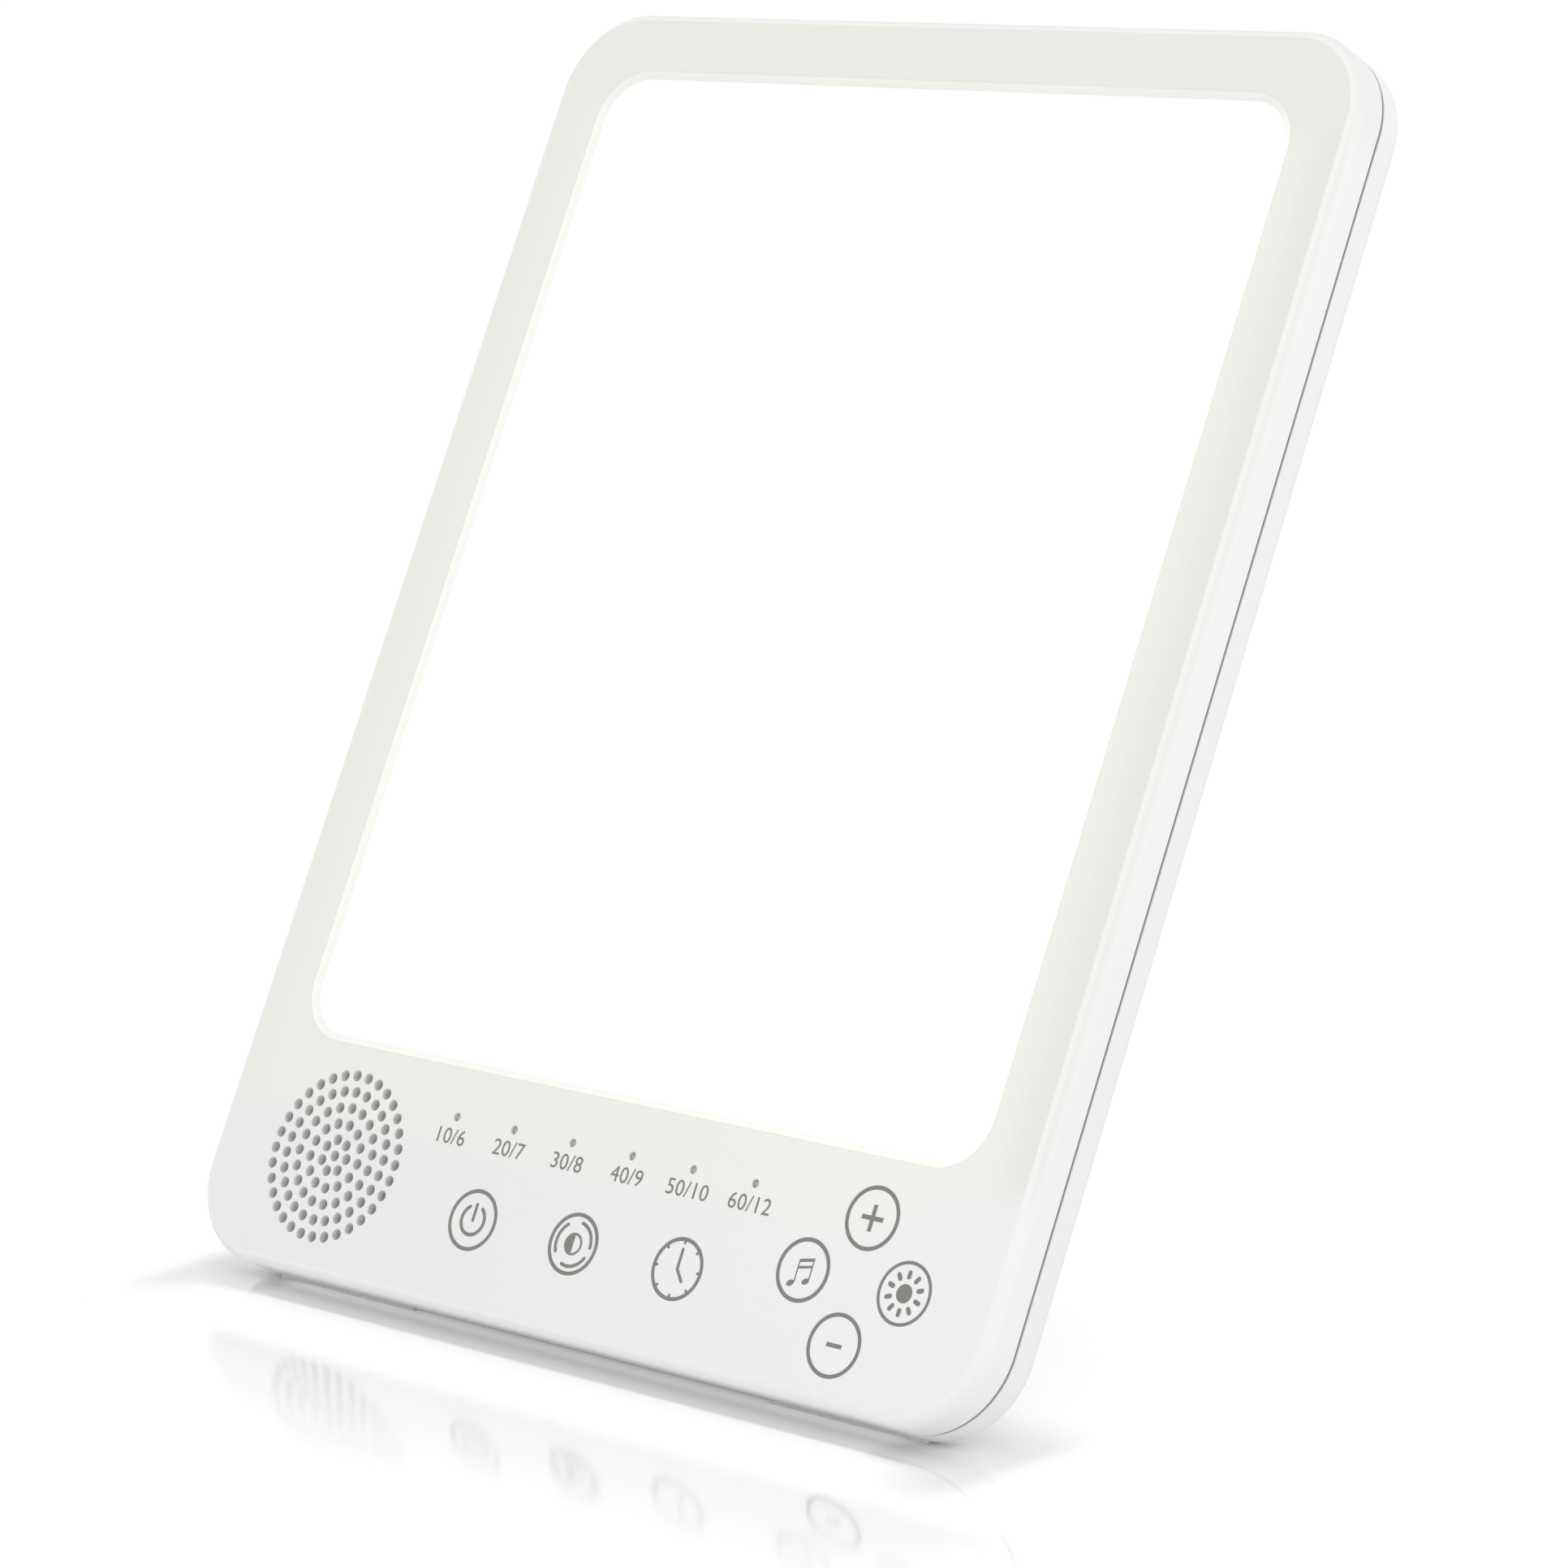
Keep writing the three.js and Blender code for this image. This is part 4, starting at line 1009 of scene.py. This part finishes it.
class BuildCover(bpy.types.Operator):
    """Builds the rear half of the case, with the leg's recess, finger notch, screw wells and inlet hole"""

    bl_idname = "lamp.rear_cover"
    bl_label = "Rear cover"

    def execute(self, context):
        lamp = lamp_settings()
        shell, rear, leg = lamp.shell, lamp.rear, lamp.leg
        box, steps = case_box(), shell.corner_steps
        front, face = shell.bezel_depth + shell.gap, back_face()
        inner, floor = face - shell.rear_wall, recess_floor()
        behind = inner + shell.gap
        rings = [(case_rim(shell.seam_edge), front), (case_rim(), front + shell.seam_edge)]
        rings += eased(box, shell.corner, shell.rear_edge, face, -1, shell.edge_steps, steps)[::-1]

        loose = shell.side_wall + shell.gap
        tongue = prism(case_rim(loose), shell.bezel_depth - shell.tongue_height, front + shell.gap)
        shoulder = front + shell.tongue_height
        mouth = prism(case_rim(loose + shell.tongue), front - 2 * shell.tongue_height, shoulder + shell.gap)
        corner, round_in = shell.corner - shell.side_wall, shell.rear_edge - shell.side_wall
        cavity = [(case_rim(shell.side_wall), shoulder)]
        walled = inset(box, shell.side_wall)
        cavity += eased(walled, corner, round_in, inner, -1, steps=6, corner_steps=steps)[::-1]

        recess = recess_box()
        left, right = recess[::2]
        tray_front = floor - rear.tray
        notch_floor = face - rear.notch_depth
        notch = (right - rear.notch_reach, rear.notch_rise - rear.notch_height / 2,
                 right + rear.notch_reach, rear.notch_rise + rear.notch_height / 2)
        straight = 0.1 * MM
        notch_corner = rear.notch_reach - straight

        def recess_rim(by):
            return tub(inset(recess, -by), rear.recess_corner + by, steps)

        def notch_rim(by):
            return outline(inset(notch, -by), notch_corner + by, steps)

        def round_pocket(centre, radius, sides, bottom):
            return flared(lambda by: circle(centre, radius + by, sides), bottom, face, rear.recess_edge / 2)

        depth, height = pivot()
        kept = [prism(recess_rim(rear.tray), tray_front, behind),
                prism(notch_rim(rear.tray), notch_floor - rear.tray, behind)]
        low, high = height - heel_reach(), height + heel_reach()
        kept += [block((start, low, start + rear.ear, high), tray_front, behind)
                 for start in (left - rear.ear, right)]
        head = PANEL.radius("case_screw_1") + rear.well_clearance
        wells = centres("case_screw", 6)
        kept += [rod(place, head + rear.well_wall, well_front(), behind) for place in wells]
        kept += foot_blocks(shell.gap + rear.tray)
        room = solid("room", mouth, join(skin(cavity)) + cut(*kept))

        nose = inlet_nose_radius() + shell.gap
        reach = PANEL.flat_box("hinge_pin_right")[2] + shell.gap
        cuts = [
            room,
            flared(recess_rim, floor, face, rear.recess_edge),
            flared(notch_rim, notch_floor, face, rear.recess_edge),
            sideways(rod((height, depth), leg.bore, -reach, reach)),
            round_pocket(PANEL.middle("power_inlet"), nose, 40, inner - PAST),
            *foot_blocks(shell.gap),
        ]
        for place in wells:
            cuts.append(rod(place, shell.shank, well_front() - PAST, well_floor() + PAST))
            cuts.append(round_pocket(place, head, 32, well_floor()))
        piece = solid("cover", skin(rings), join(tongue) + cut(*cuts))
        paint = cover_white(lamp.colours, shell, box)
        finish_piece(piece, PANEL, paint, "panel", ["rear_cover"])
        return {"FINISHED"}


class BuildSheet(bpy.types.Operator):
    """Builds the lit opal sheet, with its raised middle and the flange behind the bezel"""

    bl_idname = "lamp.lit_sheet"
    bl_label = "Lit sheet"

    def execute(self, context):
        lamp = lamp_settings()
        window, shell = lamp.window, lamp.shell
        box, corner = PANEL.flat_box("diffuser_panel"), window.corner - window.lip_run - window.ledge
        front, back = PANEL.depths("diffuser_panel")
        raised, edge = inset(box, window.flange + shell.gap), window.sheet_edge
        flange_front = back - window.flange_thickness
        middle = slab(raised, corner - shell.gap, front, back - shell.gap, edge, steps=4, corner_steps=20)
        flange = slab(box, corner + window.flange, flange_front, back, edge, steps=3, corner_steps=20)
        piece = solid("sheet", middle, join(flange))
        paint = lit_sheet(lamp.colours, lamp.studio.sheet_glow)
        finish_piece(piece, PANEL, paint, "panel", ["diffuser_panel"])
        return {"FINISHED"}


class BuildPipes(bpy.types.Operator):
    """Builds the six light pipes, whose domed tips are the indicators"""

    bl_idname = "lamp.light_pipes"
    bl_label = "Light pipes"

    def execute(self, context):
        lamp = lamp_settings()
        paint = moulded("pipe_frost", lamp.colours.pipe, 0.35, 0.3 * MM)
        fit, rise, thick = 0.06 * MM, 0.25 * MM, 0.8 * MM
        tip, behind = lamp.grille.dot - fit, lamp.shell.front_wall + lamp.shell.gap
        for i, place in enumerate(centres("indicator_pipe", 6)):
            node = f"indicator_pipe_{i + 1}"
            (front, back), flange = PANEL.depths(node), PANEL.radius(node)
            stem = [(tip, behind), (flange, behind), (flange, behind + thick), (tip, behind + thick)]
            profile = dome(tip, front, rise) + stem + [(tip, back)]
            piece = new_object(f"pipe_{i + 1}", *bar(place, profile, 28))
            finish_piece(piece, PANEL, paint, "panel", [node])
        return {"FINISHED"}


class BuildPrint(bpy.types.Operator):
    """Builds the printed rings and signs of the seven touch keys, and the numbers by the indicators"""

    bl_idname = "lamp.print"
    bl_label = "Printed keys and numbers"

    def execute(self, context):
        lamp = lamp_settings()
        marks = lamp.marks
        paint = printed("ink", lamp.colours.ink)
        near, far = -marks.thickness, marks.sink
        for key, (weight, sign) in KEY_SIGNS.items():
            middle = PANEL.middle(f"touch_pad_{key}") + (marks.shift, 0)
            ring = band(middle, marks.ring, weight * MM, near, far, 96)
            shapes = [prism(middle + rim * MM, near, far) for rim in sign()]
            if key == "colour":
                shapes.append(band(middle, DISC * MM, DISC_RIM * MM, near, far, 40))
            piece = solid(f"print_{key}", ring, join(*shapes))
            finish_piece(piece, PANEL, paint, "panel")
        for i, place in enumerate(centres("indicator_pipe", 6)):
            piece = number(f"print_number_{i + 1}", NUMBERS[i], place + (marks.shift, -marks.digit_drop))
            finish_piece(piece, PANEL, paint, "panel")
        return {"FINISHED"}


# Signs: rims in millimetres about a key's middle


# Radius of the disc in the second key and weight of its rim
DISC = 1.75
DISC_RIM = 0.42


def power_sign():
    """An open ring with an upright bar."""
    return [bow(2.6, 124, 416, 0.65), capsule((0, -0.05), (0, 2.75), 0.6)]


def colour_sign():
    """Three arcs round the filled left half of a disc."""
    arcs = [bow(3.85, first, last, 0.6) for first, last in ((0, 79), (127, 208), (251, 330))]
    return arcs + [DISC * unit(np.radians(np.linspace(90, 270, 25)))]


def timer_sign():
    """A clock face: eight short marks and two hands."""
    rays = unit(np.radians(np.arange(0, 360, 45)))
    marks = [capsule(ray * 4.5, ray * 5.05, 0.5) for ray in rays]
    return marks + [capsule((0, 0), (0, 3.4), 0.58), capsule((0, 0), (1.6, -1.85), 0.58)]


def sound_sign():
    """Two notes joined by a double beam."""
    oval = unit(TURN * np.arange(28) / 28) * (0.78, 0.5)
    tilt = math.radians(30)
    oval = oval @ unit(np.array([tilt, tilt + QUARTER]))
    heads = [oval + (-1.85, -2.5), oval + (1.15, -1.75)]
    stems = [quad(-1.28, -2.35, -1.03, 1.62), quad(1.58, -1.6, 1.83, 2.2)]
    beams = [np.array([(-1.28, z), (1.83, z + 0.62), (1.83, z + 0.62 + high), (-1.28, z + high)])
             for z, high in ((1.12, 0.55), (0.0, 0.45))]
    return heads + stems + beams


def brightness_sign():
    """A small disc with ten short rays."""
    rays = unit(np.radians(np.arange(90, 450, 36)))
    return [circle((0, 0), 1.58, 40)] + [capsule(ray * 2.78, ray * 3.5, 0.8) for ray in rays]


def plus_sign():
    return [quad(-2.25, -0.39, 2.25, 0.39), quad(-0.39, -2.25, 0.39, 2.25)]


def minus_sign():
    return [quad(-1.58, -0.36, 1.58, 0.36)]


# Each key's ring weight in millimetres, and the sign in it
KEY_SIGNS = {
    "power": (0.68, power_sign),
    "colour": (0.68, colour_sign),
    "timer": (0.66, timer_sign),
    "sound": (0.7, sound_sign),
    "brightness": (0.56, brightness_sign),
    "plus": (0.7, plus_sign),
    "minus": (0.68, minus_sign),
}

# The numbers under the six indicators
NUMBERS = ("10/6", "20/7", "30/8", "40/9", "50/10", "60/12")


def number(name, words, spot):
    """A printed number: flat text made a thin mesh, scaled to the height of the digits."""
    marks = lamp_settings().marks
    text = bpy.data.curves.new(name, "FONT")
    text.body = words
    text.align_x = text.align_y = "CENTER"
    text.space_character = 1.04
    text.extrude = 1
    text.resolution_u = 4
    holder = linked(name, text)
    made = holder.evaluated_get(bpy.context.evaluated_depsgraph_get())
    mesh = bpy.data.meshes.new_from_object(made)
    bpy.data.objects.remove(holder)
    bpy.data.curves.remove(text)
    closed = bmesh.new()
    closed.from_mesh(mesh)
    bmesh.ops.remove_doubles(closed, verts=closed.verts, dist=1e-5)
    closed.to_mesh(mesh)
    closed.free()
    points = coordinates(mesh)
    low, high = points.min(0), points.max(0)
    scale = marks.digit / (high[1] - low[1]) * marks.slash_share
    flat = (points[:, :2] - (low + high)[:2] / 2) * scale + spot
    depth = np.where(points[:, 2] > 0, -marks.thickness, marks.sink)
    mesh.vertices.foreach_set("co", np.insert(flat, 1, depth, axis=1).ravel())
    mesh.update()
    return linked(name, mesh)


class BuildLeg(bpy.types.Operator):
    """Builds the fold-out leg with its shoe, hinge pins and washers"""

    bl_idname = "lamp.leg"
    bl_label = "Leg"

    def execute(self, context):
        lamp = lamp_settings()
        leg, shell = lamp.leg, lamp.shell
        left, end, right, heel = LEG.flat_box("stand_leg")
        half = LEG.depths("stand_leg")[1]
        _, sole, _, shoe_top = LEG.flat_box("stand_shoe")
        blank = (left, sole, right, heel + leg.corner)
        long = slab(blank, leg.corner, -half, half, leg.edge, steps=6, corner_steps=16)
        points = LEG.local(points_of("stand_leg"))
        stop = points[points[:, 1] < -half + SLACK][:, 2].max()
        start = points[points[:, 2] > heel - SLACK][:, 1].min()
        slant = np.array([heel - stop, start + half]) / 2
        first, last = (stop, -half) - slant, (heel, start) + slant
        wedge = np.array([first, (last[0], first[1]), last])
        wide = 2 * right
        panel = inset((left, end, right, 0), leg.panel_margin)

        def panel_rim(by):
            return outline(inset(panel, -by), leg.corner / 2 + by, 12)

        pins = [PANEL.flat_box(f"hinge_pin_{side}")[::2] for side in SIDES]
        left_pin, right_pin = pins
        piece = solid("leg", long, cut(
            block((-wide, sole - wide, wide, end), -wide, wide),
            block((-wide, heel, wide, heel + wide), -wide, wide),
            sideways(prism(wedge, -wide, wide)),
            flared(panel_rim, half - leg.panel_depth, half, leg.panel_edge),
            sideways(rod((0, 0), leg.bore, -wide, left_pin[1] + shell.gap)),
            sideways(rod((0, 0), leg.bore, right_pin[0] - shell.gap, wide)),
        ))
        paint = moulded("leg_white", lamp.colours.shell, 0.4, place=LEG)
        finish_piece(piece, LEG, paint, "stand", ["stand_leg"], ALL_ROUND)

        points = LEG.local(points_of("stand_shoe"))
        low_front = points[points[:, 1] < -half + SLACK][:, 2].min()
        low_back = points[points[:, 1] > half - SLACK][:, 2].min()
        tilt, past = (low_back - low_front) / 4, 1.5 * half
        under = np.array([(low_front - tilt, -past), (low_back + tilt, past),
                          (sole - wide, past), (sole - wide, -past)])
        above = block((-wide, shoe_top, wide, heel + wide), -wide, wide)
        piece = solid("shoe", long, cut(above, sideways(prism(under, -wide, wide))))
        rubber = moulded("shoe_rubber", lamp.colours.rubber, place=LEG, **RUBBER)
        finish_piece(piece, LEG, rubber, "stand", ["stand_shoe"], ALL_ROUND)

        metal = plated("hinge_metal", lamp.colours.metal)
        for side, ends in zip(SIDES, pins):
            pin = sideways(rod((0, 0), leg.pin, *ends))
            near, _, far, _ = LEG.flat_box(f"friction_washer_{side}")
            outer = LEG.depths(f"friction_washer_{side}")[1]
            washer = sideways(band((0, 0), (outer + leg.bore) / 2, outer - leg.bore, near, far, 40))
            for name, shape, node in (("pin", pin, "hinge_pin"), ("washer", washer, "friction_washer")):
                piece = new_object(f"{name}_{side}", *shape)
                finish_piece(piece, LEG, metal, "stand", [f"{node}_{side}"])
        return {"FINISHED"}


class BuildFeet(bpy.types.Operator):
    """Builds the two rubber feet in the lower rear edge"""

    bl_idname = "lamp.feet"
    bl_label = "Feet"

    def execute(self, context):
        # Painted light: the feet's rubber is made lighter than the shoe's, against the shade under the case
        corner, edge, lighter = 0.5 * MM, 0.35 * MM, 0.16
        rubber = moulded("foot_rubber", tinted(lamp_settings().colours.rubber, lighter), **RUBBER)
        for side, foot in zip(SIDES, FEET):
            box, depths = FLOOR.flat_box(foot), FLOOR.depths(foot)
            piece = new_object(f"rubber_{side}", *slab(box, corner, *depths, edge, steps=4, corner_steps=6))
            finish_piece(piece, FLOOR, rubber, "panel", [foot], ALL_ROUND)
        return {"FINISHED"}


class BuildInlet(bpy.types.Operator):
    """Builds the power inlet and the pin in it"""

    bl_idname = "lamp.inlet"
    bl_label = "Power inlet"

    def execute(self, context):
        lamp = lamp_settings()
        edge, eased_edge, flare, base = 0.25 * MM, 0.08 * MM, 0.2 * MM, MM
        front, nose = PANEL.depths("power_inlet")
        inner = back_face() - lamp.shell.rear_wall
        centre, radius, bore = PANEL.middle("power_inlet"), inlet_nose_radius(), lamp.rear.inlet_bore
        body = block(PANEL.flat_box("power_inlet"), front, inner - lamp.shell.gap)
        neck = bar(centre, [(radius, inner - PAST), (radius, nose - edge),
                            (radius - eased_edge, nose - eased_edge), (radius - edge, nose)], 48)
        wide = bore + flare
        hole = [(bore, front + base), (bore, nose - flare), (wide, nose), (wide, nose + PAST)]
        hollow = bar(centre, hole, 40)
        piece = solid("inlet", body, join(neck) + cut(hollow))
        paint = moulded("inlet_black", lamp.colours.black, 0.42)
        finish_piece(piece, PANEL, paint, "panel", ["power_inlet"])
        (root, end), pin = PANEL.depths("power_inlet_pin"), PANEL.radius("power_inlet_pin")
        tip = end - 2 * flare
        profile = [(pin, root), (pin, tip), (0.85 * pin, tip + flare), (0.35 * pin, end)]
        piece = new_object("inlet_pin", *bar(centre, profile, 28))
        metal = plated("pin_metal", lamp.colours.metal, 0.22)
        finish_piece(piece, PANEL, metal, "panel", ["power_inlet_pin"])
        return {"FINISHED"}


class BuildScrews(bpy.types.Operator):
    """Builds the six screws that hold the case together, with a cross in each head"""

    bl_idname = "lamp.case_screws"
    bl_label = "Case screws"

    def execute(self, context):
        lamp = lamp_settings()
        metal = plated("screw_metal", lamp.colours.metal, 0.3)
        head, shank = PANEL.radius("case_screw_1"), lamp.shell.shank - lamp.shell.gap
        slot, arm, deep = 0.21 * MM, 0.95 * MM, 0.75 * MM
        tip, rim, crown, tall = 0.1 * MM, 0.5 * MM, 0.7 * MM, 1.2 * MM
        turns = np.linspace(0, TIP, 8)
        for i, place in enumerate(centres("case_screw", 6)):
            end, top = PANEL.depths(f"case_screw_{i + 1}")
            seat = top - tall
            profile = [(tip, end), (shank, end + shank), (shank, seat), (head, seat)]
            profile += [(head * math.cos(a), seat + rim + crown * math.sin(a)) for a in turns]
            x, z = place
            cross = [block((x - wide, z - high, x + wide, z + high), top - deep, top + PAST)
                     for wide, high in ((arm, slot), (slot, arm))]
            piece = solid(f"screw_{i + 1}", bar(place, profile, 36), cut(*cross))
            finish_piece(piece, PANEL, metal, "panel", [f"case_screw_{i + 1}"])
        return {"FINISHED"}


class FinishInside(bpy.types.Operator):
    """Gives the pieces that come straight from the frame their finishes"""

    bl_idname = "lamp.inside"
    bl_label = "Pieces inside"

    def execute(self, context):
        colours = lamp_settings().colours
        metal = plated("spring_metal", colours.metal)
        black = moulded("moulded_black", colours.black, 0.5)
        paints = {
            "light_guide_plate": clear_sheet("clear_acrylic", (0.95, 0.97, 1.0)),
            "reflector_sheet": moulded("reflector_film", (0.93, 0.93, 0.93), 0.55, 0.2 * MM),
            "back_plate": plated("plate_metal", (0.6, 0.61, 0.62), 0.4),
            "led_strip": circuit("strip_white", (0.87, 0.87, 0.82), (0.78, 0.74, 0.6)),
            "control_board": circuit("board_green", (0.015, 0.1, 0.045), (0.03, 0.2, 0.09)),
            "speaker_cone": woven("cone_paper", (0.045, 0.045, 0.048), 0.5 * MM),
            "speaker_cloth": woven("grille_cloth", colours.cloth, contrast=0.08),
            "led_lead": moulded("lead_red", (0.5, 0.04, 0.03), 0.45, 0.2 * MM),
            "speaker_lead": moulded("lead_black", (0.03, 0.03, 0.03), 0.45, 0.2 * MM),
            **dict.fromkeys(("speaker_frame", "touch_chip", "led_driver_chip", "driver_coil"), black),
            **dict.fromkeys(("speaker_magnet", "touch_pad", "supply_capacitor"), metal),
            **dict.fromkeys(("board_screw", "speaker_screw"), metal),
        }
        for name, node in frame["nodes"].items():
            for kind in [kind for kind in paints if name.startswith(kind)]:
                for slot in node.material_slots:
                    slot.material = paints[kind]
        return {"FINISHED"}


# The stage


def floor_paint():
    """A white floor that shows the camera the lamp's shadow, and its reflection in front of it.

    The reflection is strongest where the front face lies in it, weaker in the shade under the case and
    faint between the two, and it fades out in front. The floor is lifted less in the reflection of the
    face, and it is given painted shade under the case and a painted shadow beside the case's lower
    corners. How far each of these reaches is mostly counted in radii of those corners.
    """
    paint = Paint("studio_floor")
    studio, corner = lamp_settings().studio, lamp_settings().shell.corner
    straight, side_reach, shadow_reach = -1.1 * corner, 5 * corner, 0.6 * corner
    contact, contact_soft, painted_shade_share, face_share = 1.2 * MM, 4 * MM, 0.4, 0.7
    pale, shaded, smooth, blur = (0.9, 0.9, 0.9), (0.75, 0.75, 0.75), 0.05, 0.06
    half = PANEL.radius("front_bezel")
    front, back, feet = (FLOOR.depths(node)[0] for node in ("front_bezel", "rear_cover", "foot_left"))
    beside = abs(paint.axis("X")) - half
    ahead = front - paint.axis("Y")
    within = paint.drop(beside, straight, 0.0)

    strip = paint.drop(beside, 0.0, side_reach) * paint.step(ahead, front - feet, (front - feet) / 2)
    face = strip * paint.step(ahead, studio.mirror_start, 1.8 * studio.mirror_start)
    fade = strip * paint.drop(ahead, -1.25 * corner, studio.mirror_reach)
    under = within * strip * paint.drop(ahead, -contact, contact)
    share = studio.mirror_near + (studio.mirror_under - studio.mirror_near) * under
    share = fade * (share + (studio.mirror - studio.mirror_near) * face)

    # Painted shadow beside the case's lower corners, where the floor's white is cut
    shadow = paint.step(beside, -1.4 * corner, -0.9 * corner) * paint.drop(beside, 0.0, shadow_reach)
    shadow = shadow * paint.drop(abs(ahead + (back - front)), 0.5 * corner, 2 * corner)
    shadow = shadow * (1 - within * paint.step(ahead, -contact, contact_soft))
    # Painted shade under the case: less white, and a darker colour for the camera
    painted_shade = painted_shade_share * under
    tone = paint.mix(face_share * fade * face + shadow + painted_shade, WHITE, BLACK)
    white = paint.node("Emission", sockets={"Color": tone, "Strength": studio.floor_lift})
    unlit = paint.node("Emission", sockets={"Strength": 0.0})
    seen = paint.node("LightPath", output="Is Camera Ray")
    diffuse = paint.node("BsdfDiffuse", sockets={"Color": paint.mix(painted_shade * seen, pale, shaded)})
    lift = paint.node("MixShader", sockets={0: seen, 1: unlit, 2: white})
    matt = paint.node("AddShader", sockets={0: diffuse, 1: lift})
    gloss = {"Roughness": smooth + blur * face, "Color": opaque(WHITE)}
    mirror = paint.node("BsdfGlossy", sockets=gloss)
    mixed = paint.node("MixShader", sockets={0: share * seen, 1: matt, 2: mirror})
    paint.node("OutputMaterial", sockets={0: mixed})
    return paint.material


def make_world(strength):
    """White behind the lamp, in its gloss and through its clear pieces, and an even light elsewhere."""
    world = bpy.data.worlds.new("studio")
    bpy.context.scene.world = world
    paint = Tree(world)
    light = paint.node("Background", sockets={"Color": opaque(WHITE), "Strength": strength})
    paths = [paint.node("LightPath", output=kind)
             for kind in ("Is Camera Ray", "Is Glossy Ray", "Is Transmission Ray")]
    seen = paint.node("Math", {"operation": "MINIMUM"}, {0: paths[0] + paths[1] + paths[2], 1: 1.0})
    white = paint.node("Background", sockets={"Color": opaque(WHITE), "Strength": 1.0})
    mixed = paint.node("MixShader", sockets={0: seen, 1: light, 2: white})
    paint.node("OutputWorld", sockets={0: mixed})


def around(azimuth, elevation):
    """The direction to a place round the lamp: azimuth 0 is in front and 90 on the right."""
    a, e = math.radians(azimuth), math.radians(elevation)
    return Vector((math.sin(a) * math.cos(e), -math.cos(a) * math.cos(e), math.sin(e)))


def aimed(name, data, place, target):
    """A light or the camera at a place, looking at its target."""
    thing = linked(name, data)
    thing.location = place
    thing.rotation_euler = (target - place).to_track_quat("-Z", "Y").to_euler()
    return thing


class BuildStage(bpy.types.Operator):
    """Builds the white floor, the soft studio light and the camera"""

    bl_idname = "lamp.stage"
    bl_label = "Stage"

    def execute(self, context):
        studio = lamp_settings().studio
        floor = new_object("studio_floor", *circle_sheet(studio.floor_radius, 96))
        floor.data.materials.append(floor_paint())
        make_world(studio.sky)
        aim = Vector(studio.aim)
        for name, azimuth, elevation, distance, size, power in (
            ("key_light", 70, 38, 1.6, 1.4, studio.key),
            ("side_light", 100, 15, 1.6, 1.4, studio.side),
            ("fill_light", -35, 30, 1.7, 1.5, studio.fill),
        ):
            light = bpy.data.lights.new(name, "AREA")
            light.shape = "DISK"
            light.size = size
            light.energy = power
            aimed(name, light, aim + distance * around(azimuth, elevation), aim)
        camera = bpy.data.cameras.new("camera")
        camera.lens = studio.lens
        camera.sensor_width = 36
        camera.clip_start = 0.01
        place = aim + studio.distance * around(studio.azimuth, studio.elevation)
        bpy.context.scene.camera = aimed("camera", camera, place, aim)
        bpy.context.scene.view_settings.view_transform = "Standard"
        return {"FINISHED"}


def circle_sheet(radius, sides):
    """A flat disc on the floor: its rim's points, joined as one face that looks up."""
    rim = circle((0, 0), radius, sides)
    return np.insert(rim, 2, 0, axis=1), [list(range(sides))]


class LampPanel(bpy.types.Panel):
    """The lamp's steps and settings in the sidebar"""

    bl_idname = "VIEW3D_PT_lamp"
    bl_label = "Light therapy lamp"
    bl_space_type = "VIEW_3D"
    bl_region_type = "UI"
    bl_category = "Lamp"

    def draw(self, context):
        for step in STEPS:
            self.layout.operator(step.bl_idname)
        for group in Lamp.__annotations__:
            box = self.layout.box()
            values = getattr(context.scene.lamp, group)
            for key in values.__annotations__:
                box.prop(values, key)


class Lamp(bpy.types.PropertyGroup):
    shell: PointerProperty(type=LampShell)
    window: PointerProperty(type=LampWindow)
    grille: PointerProperty(type=LampGrille)
    marks: PointerProperty(type=LampPrint)
    rear: PointerProperty(type=LampRear)
    leg: PointerProperty(type=LampLeg)
    colours: PointerProperty(type=LampColours)
    studio: PointerProperty(type=LampStudio)


STEPS = (BuildBezel, BuildCover, BuildSheet, BuildPipes, BuildPrint, BuildLeg, BuildFeet, BuildInlet,
         BuildScrews, FinishInside, BuildStage)
GROUPS = (LampShell, LampWindow, LampGrille, LampPrint, LampRear, LampLeg, LampColours, LampStudio, Lamp)


def register():
    for kind in (*GROUPS, *STEPS, LampPanel):
        bpy.utils.register_class(kind)
    bpy.types.Scene.lamp = PointerProperty(type=Lamp)


def unregister():
    del bpy.types.Scene.lamp
    for kind in reversed((*GROUPS, *STEPS, LampPanel)):
        bpy.utils.unregister_class(kind)


def main():
    register()
    for step in STEPS:
        family, name = step.bl_idname.split(".")
        getattr(getattr(bpy.ops, family), name)()


if __name__ == "__main__":
    main()
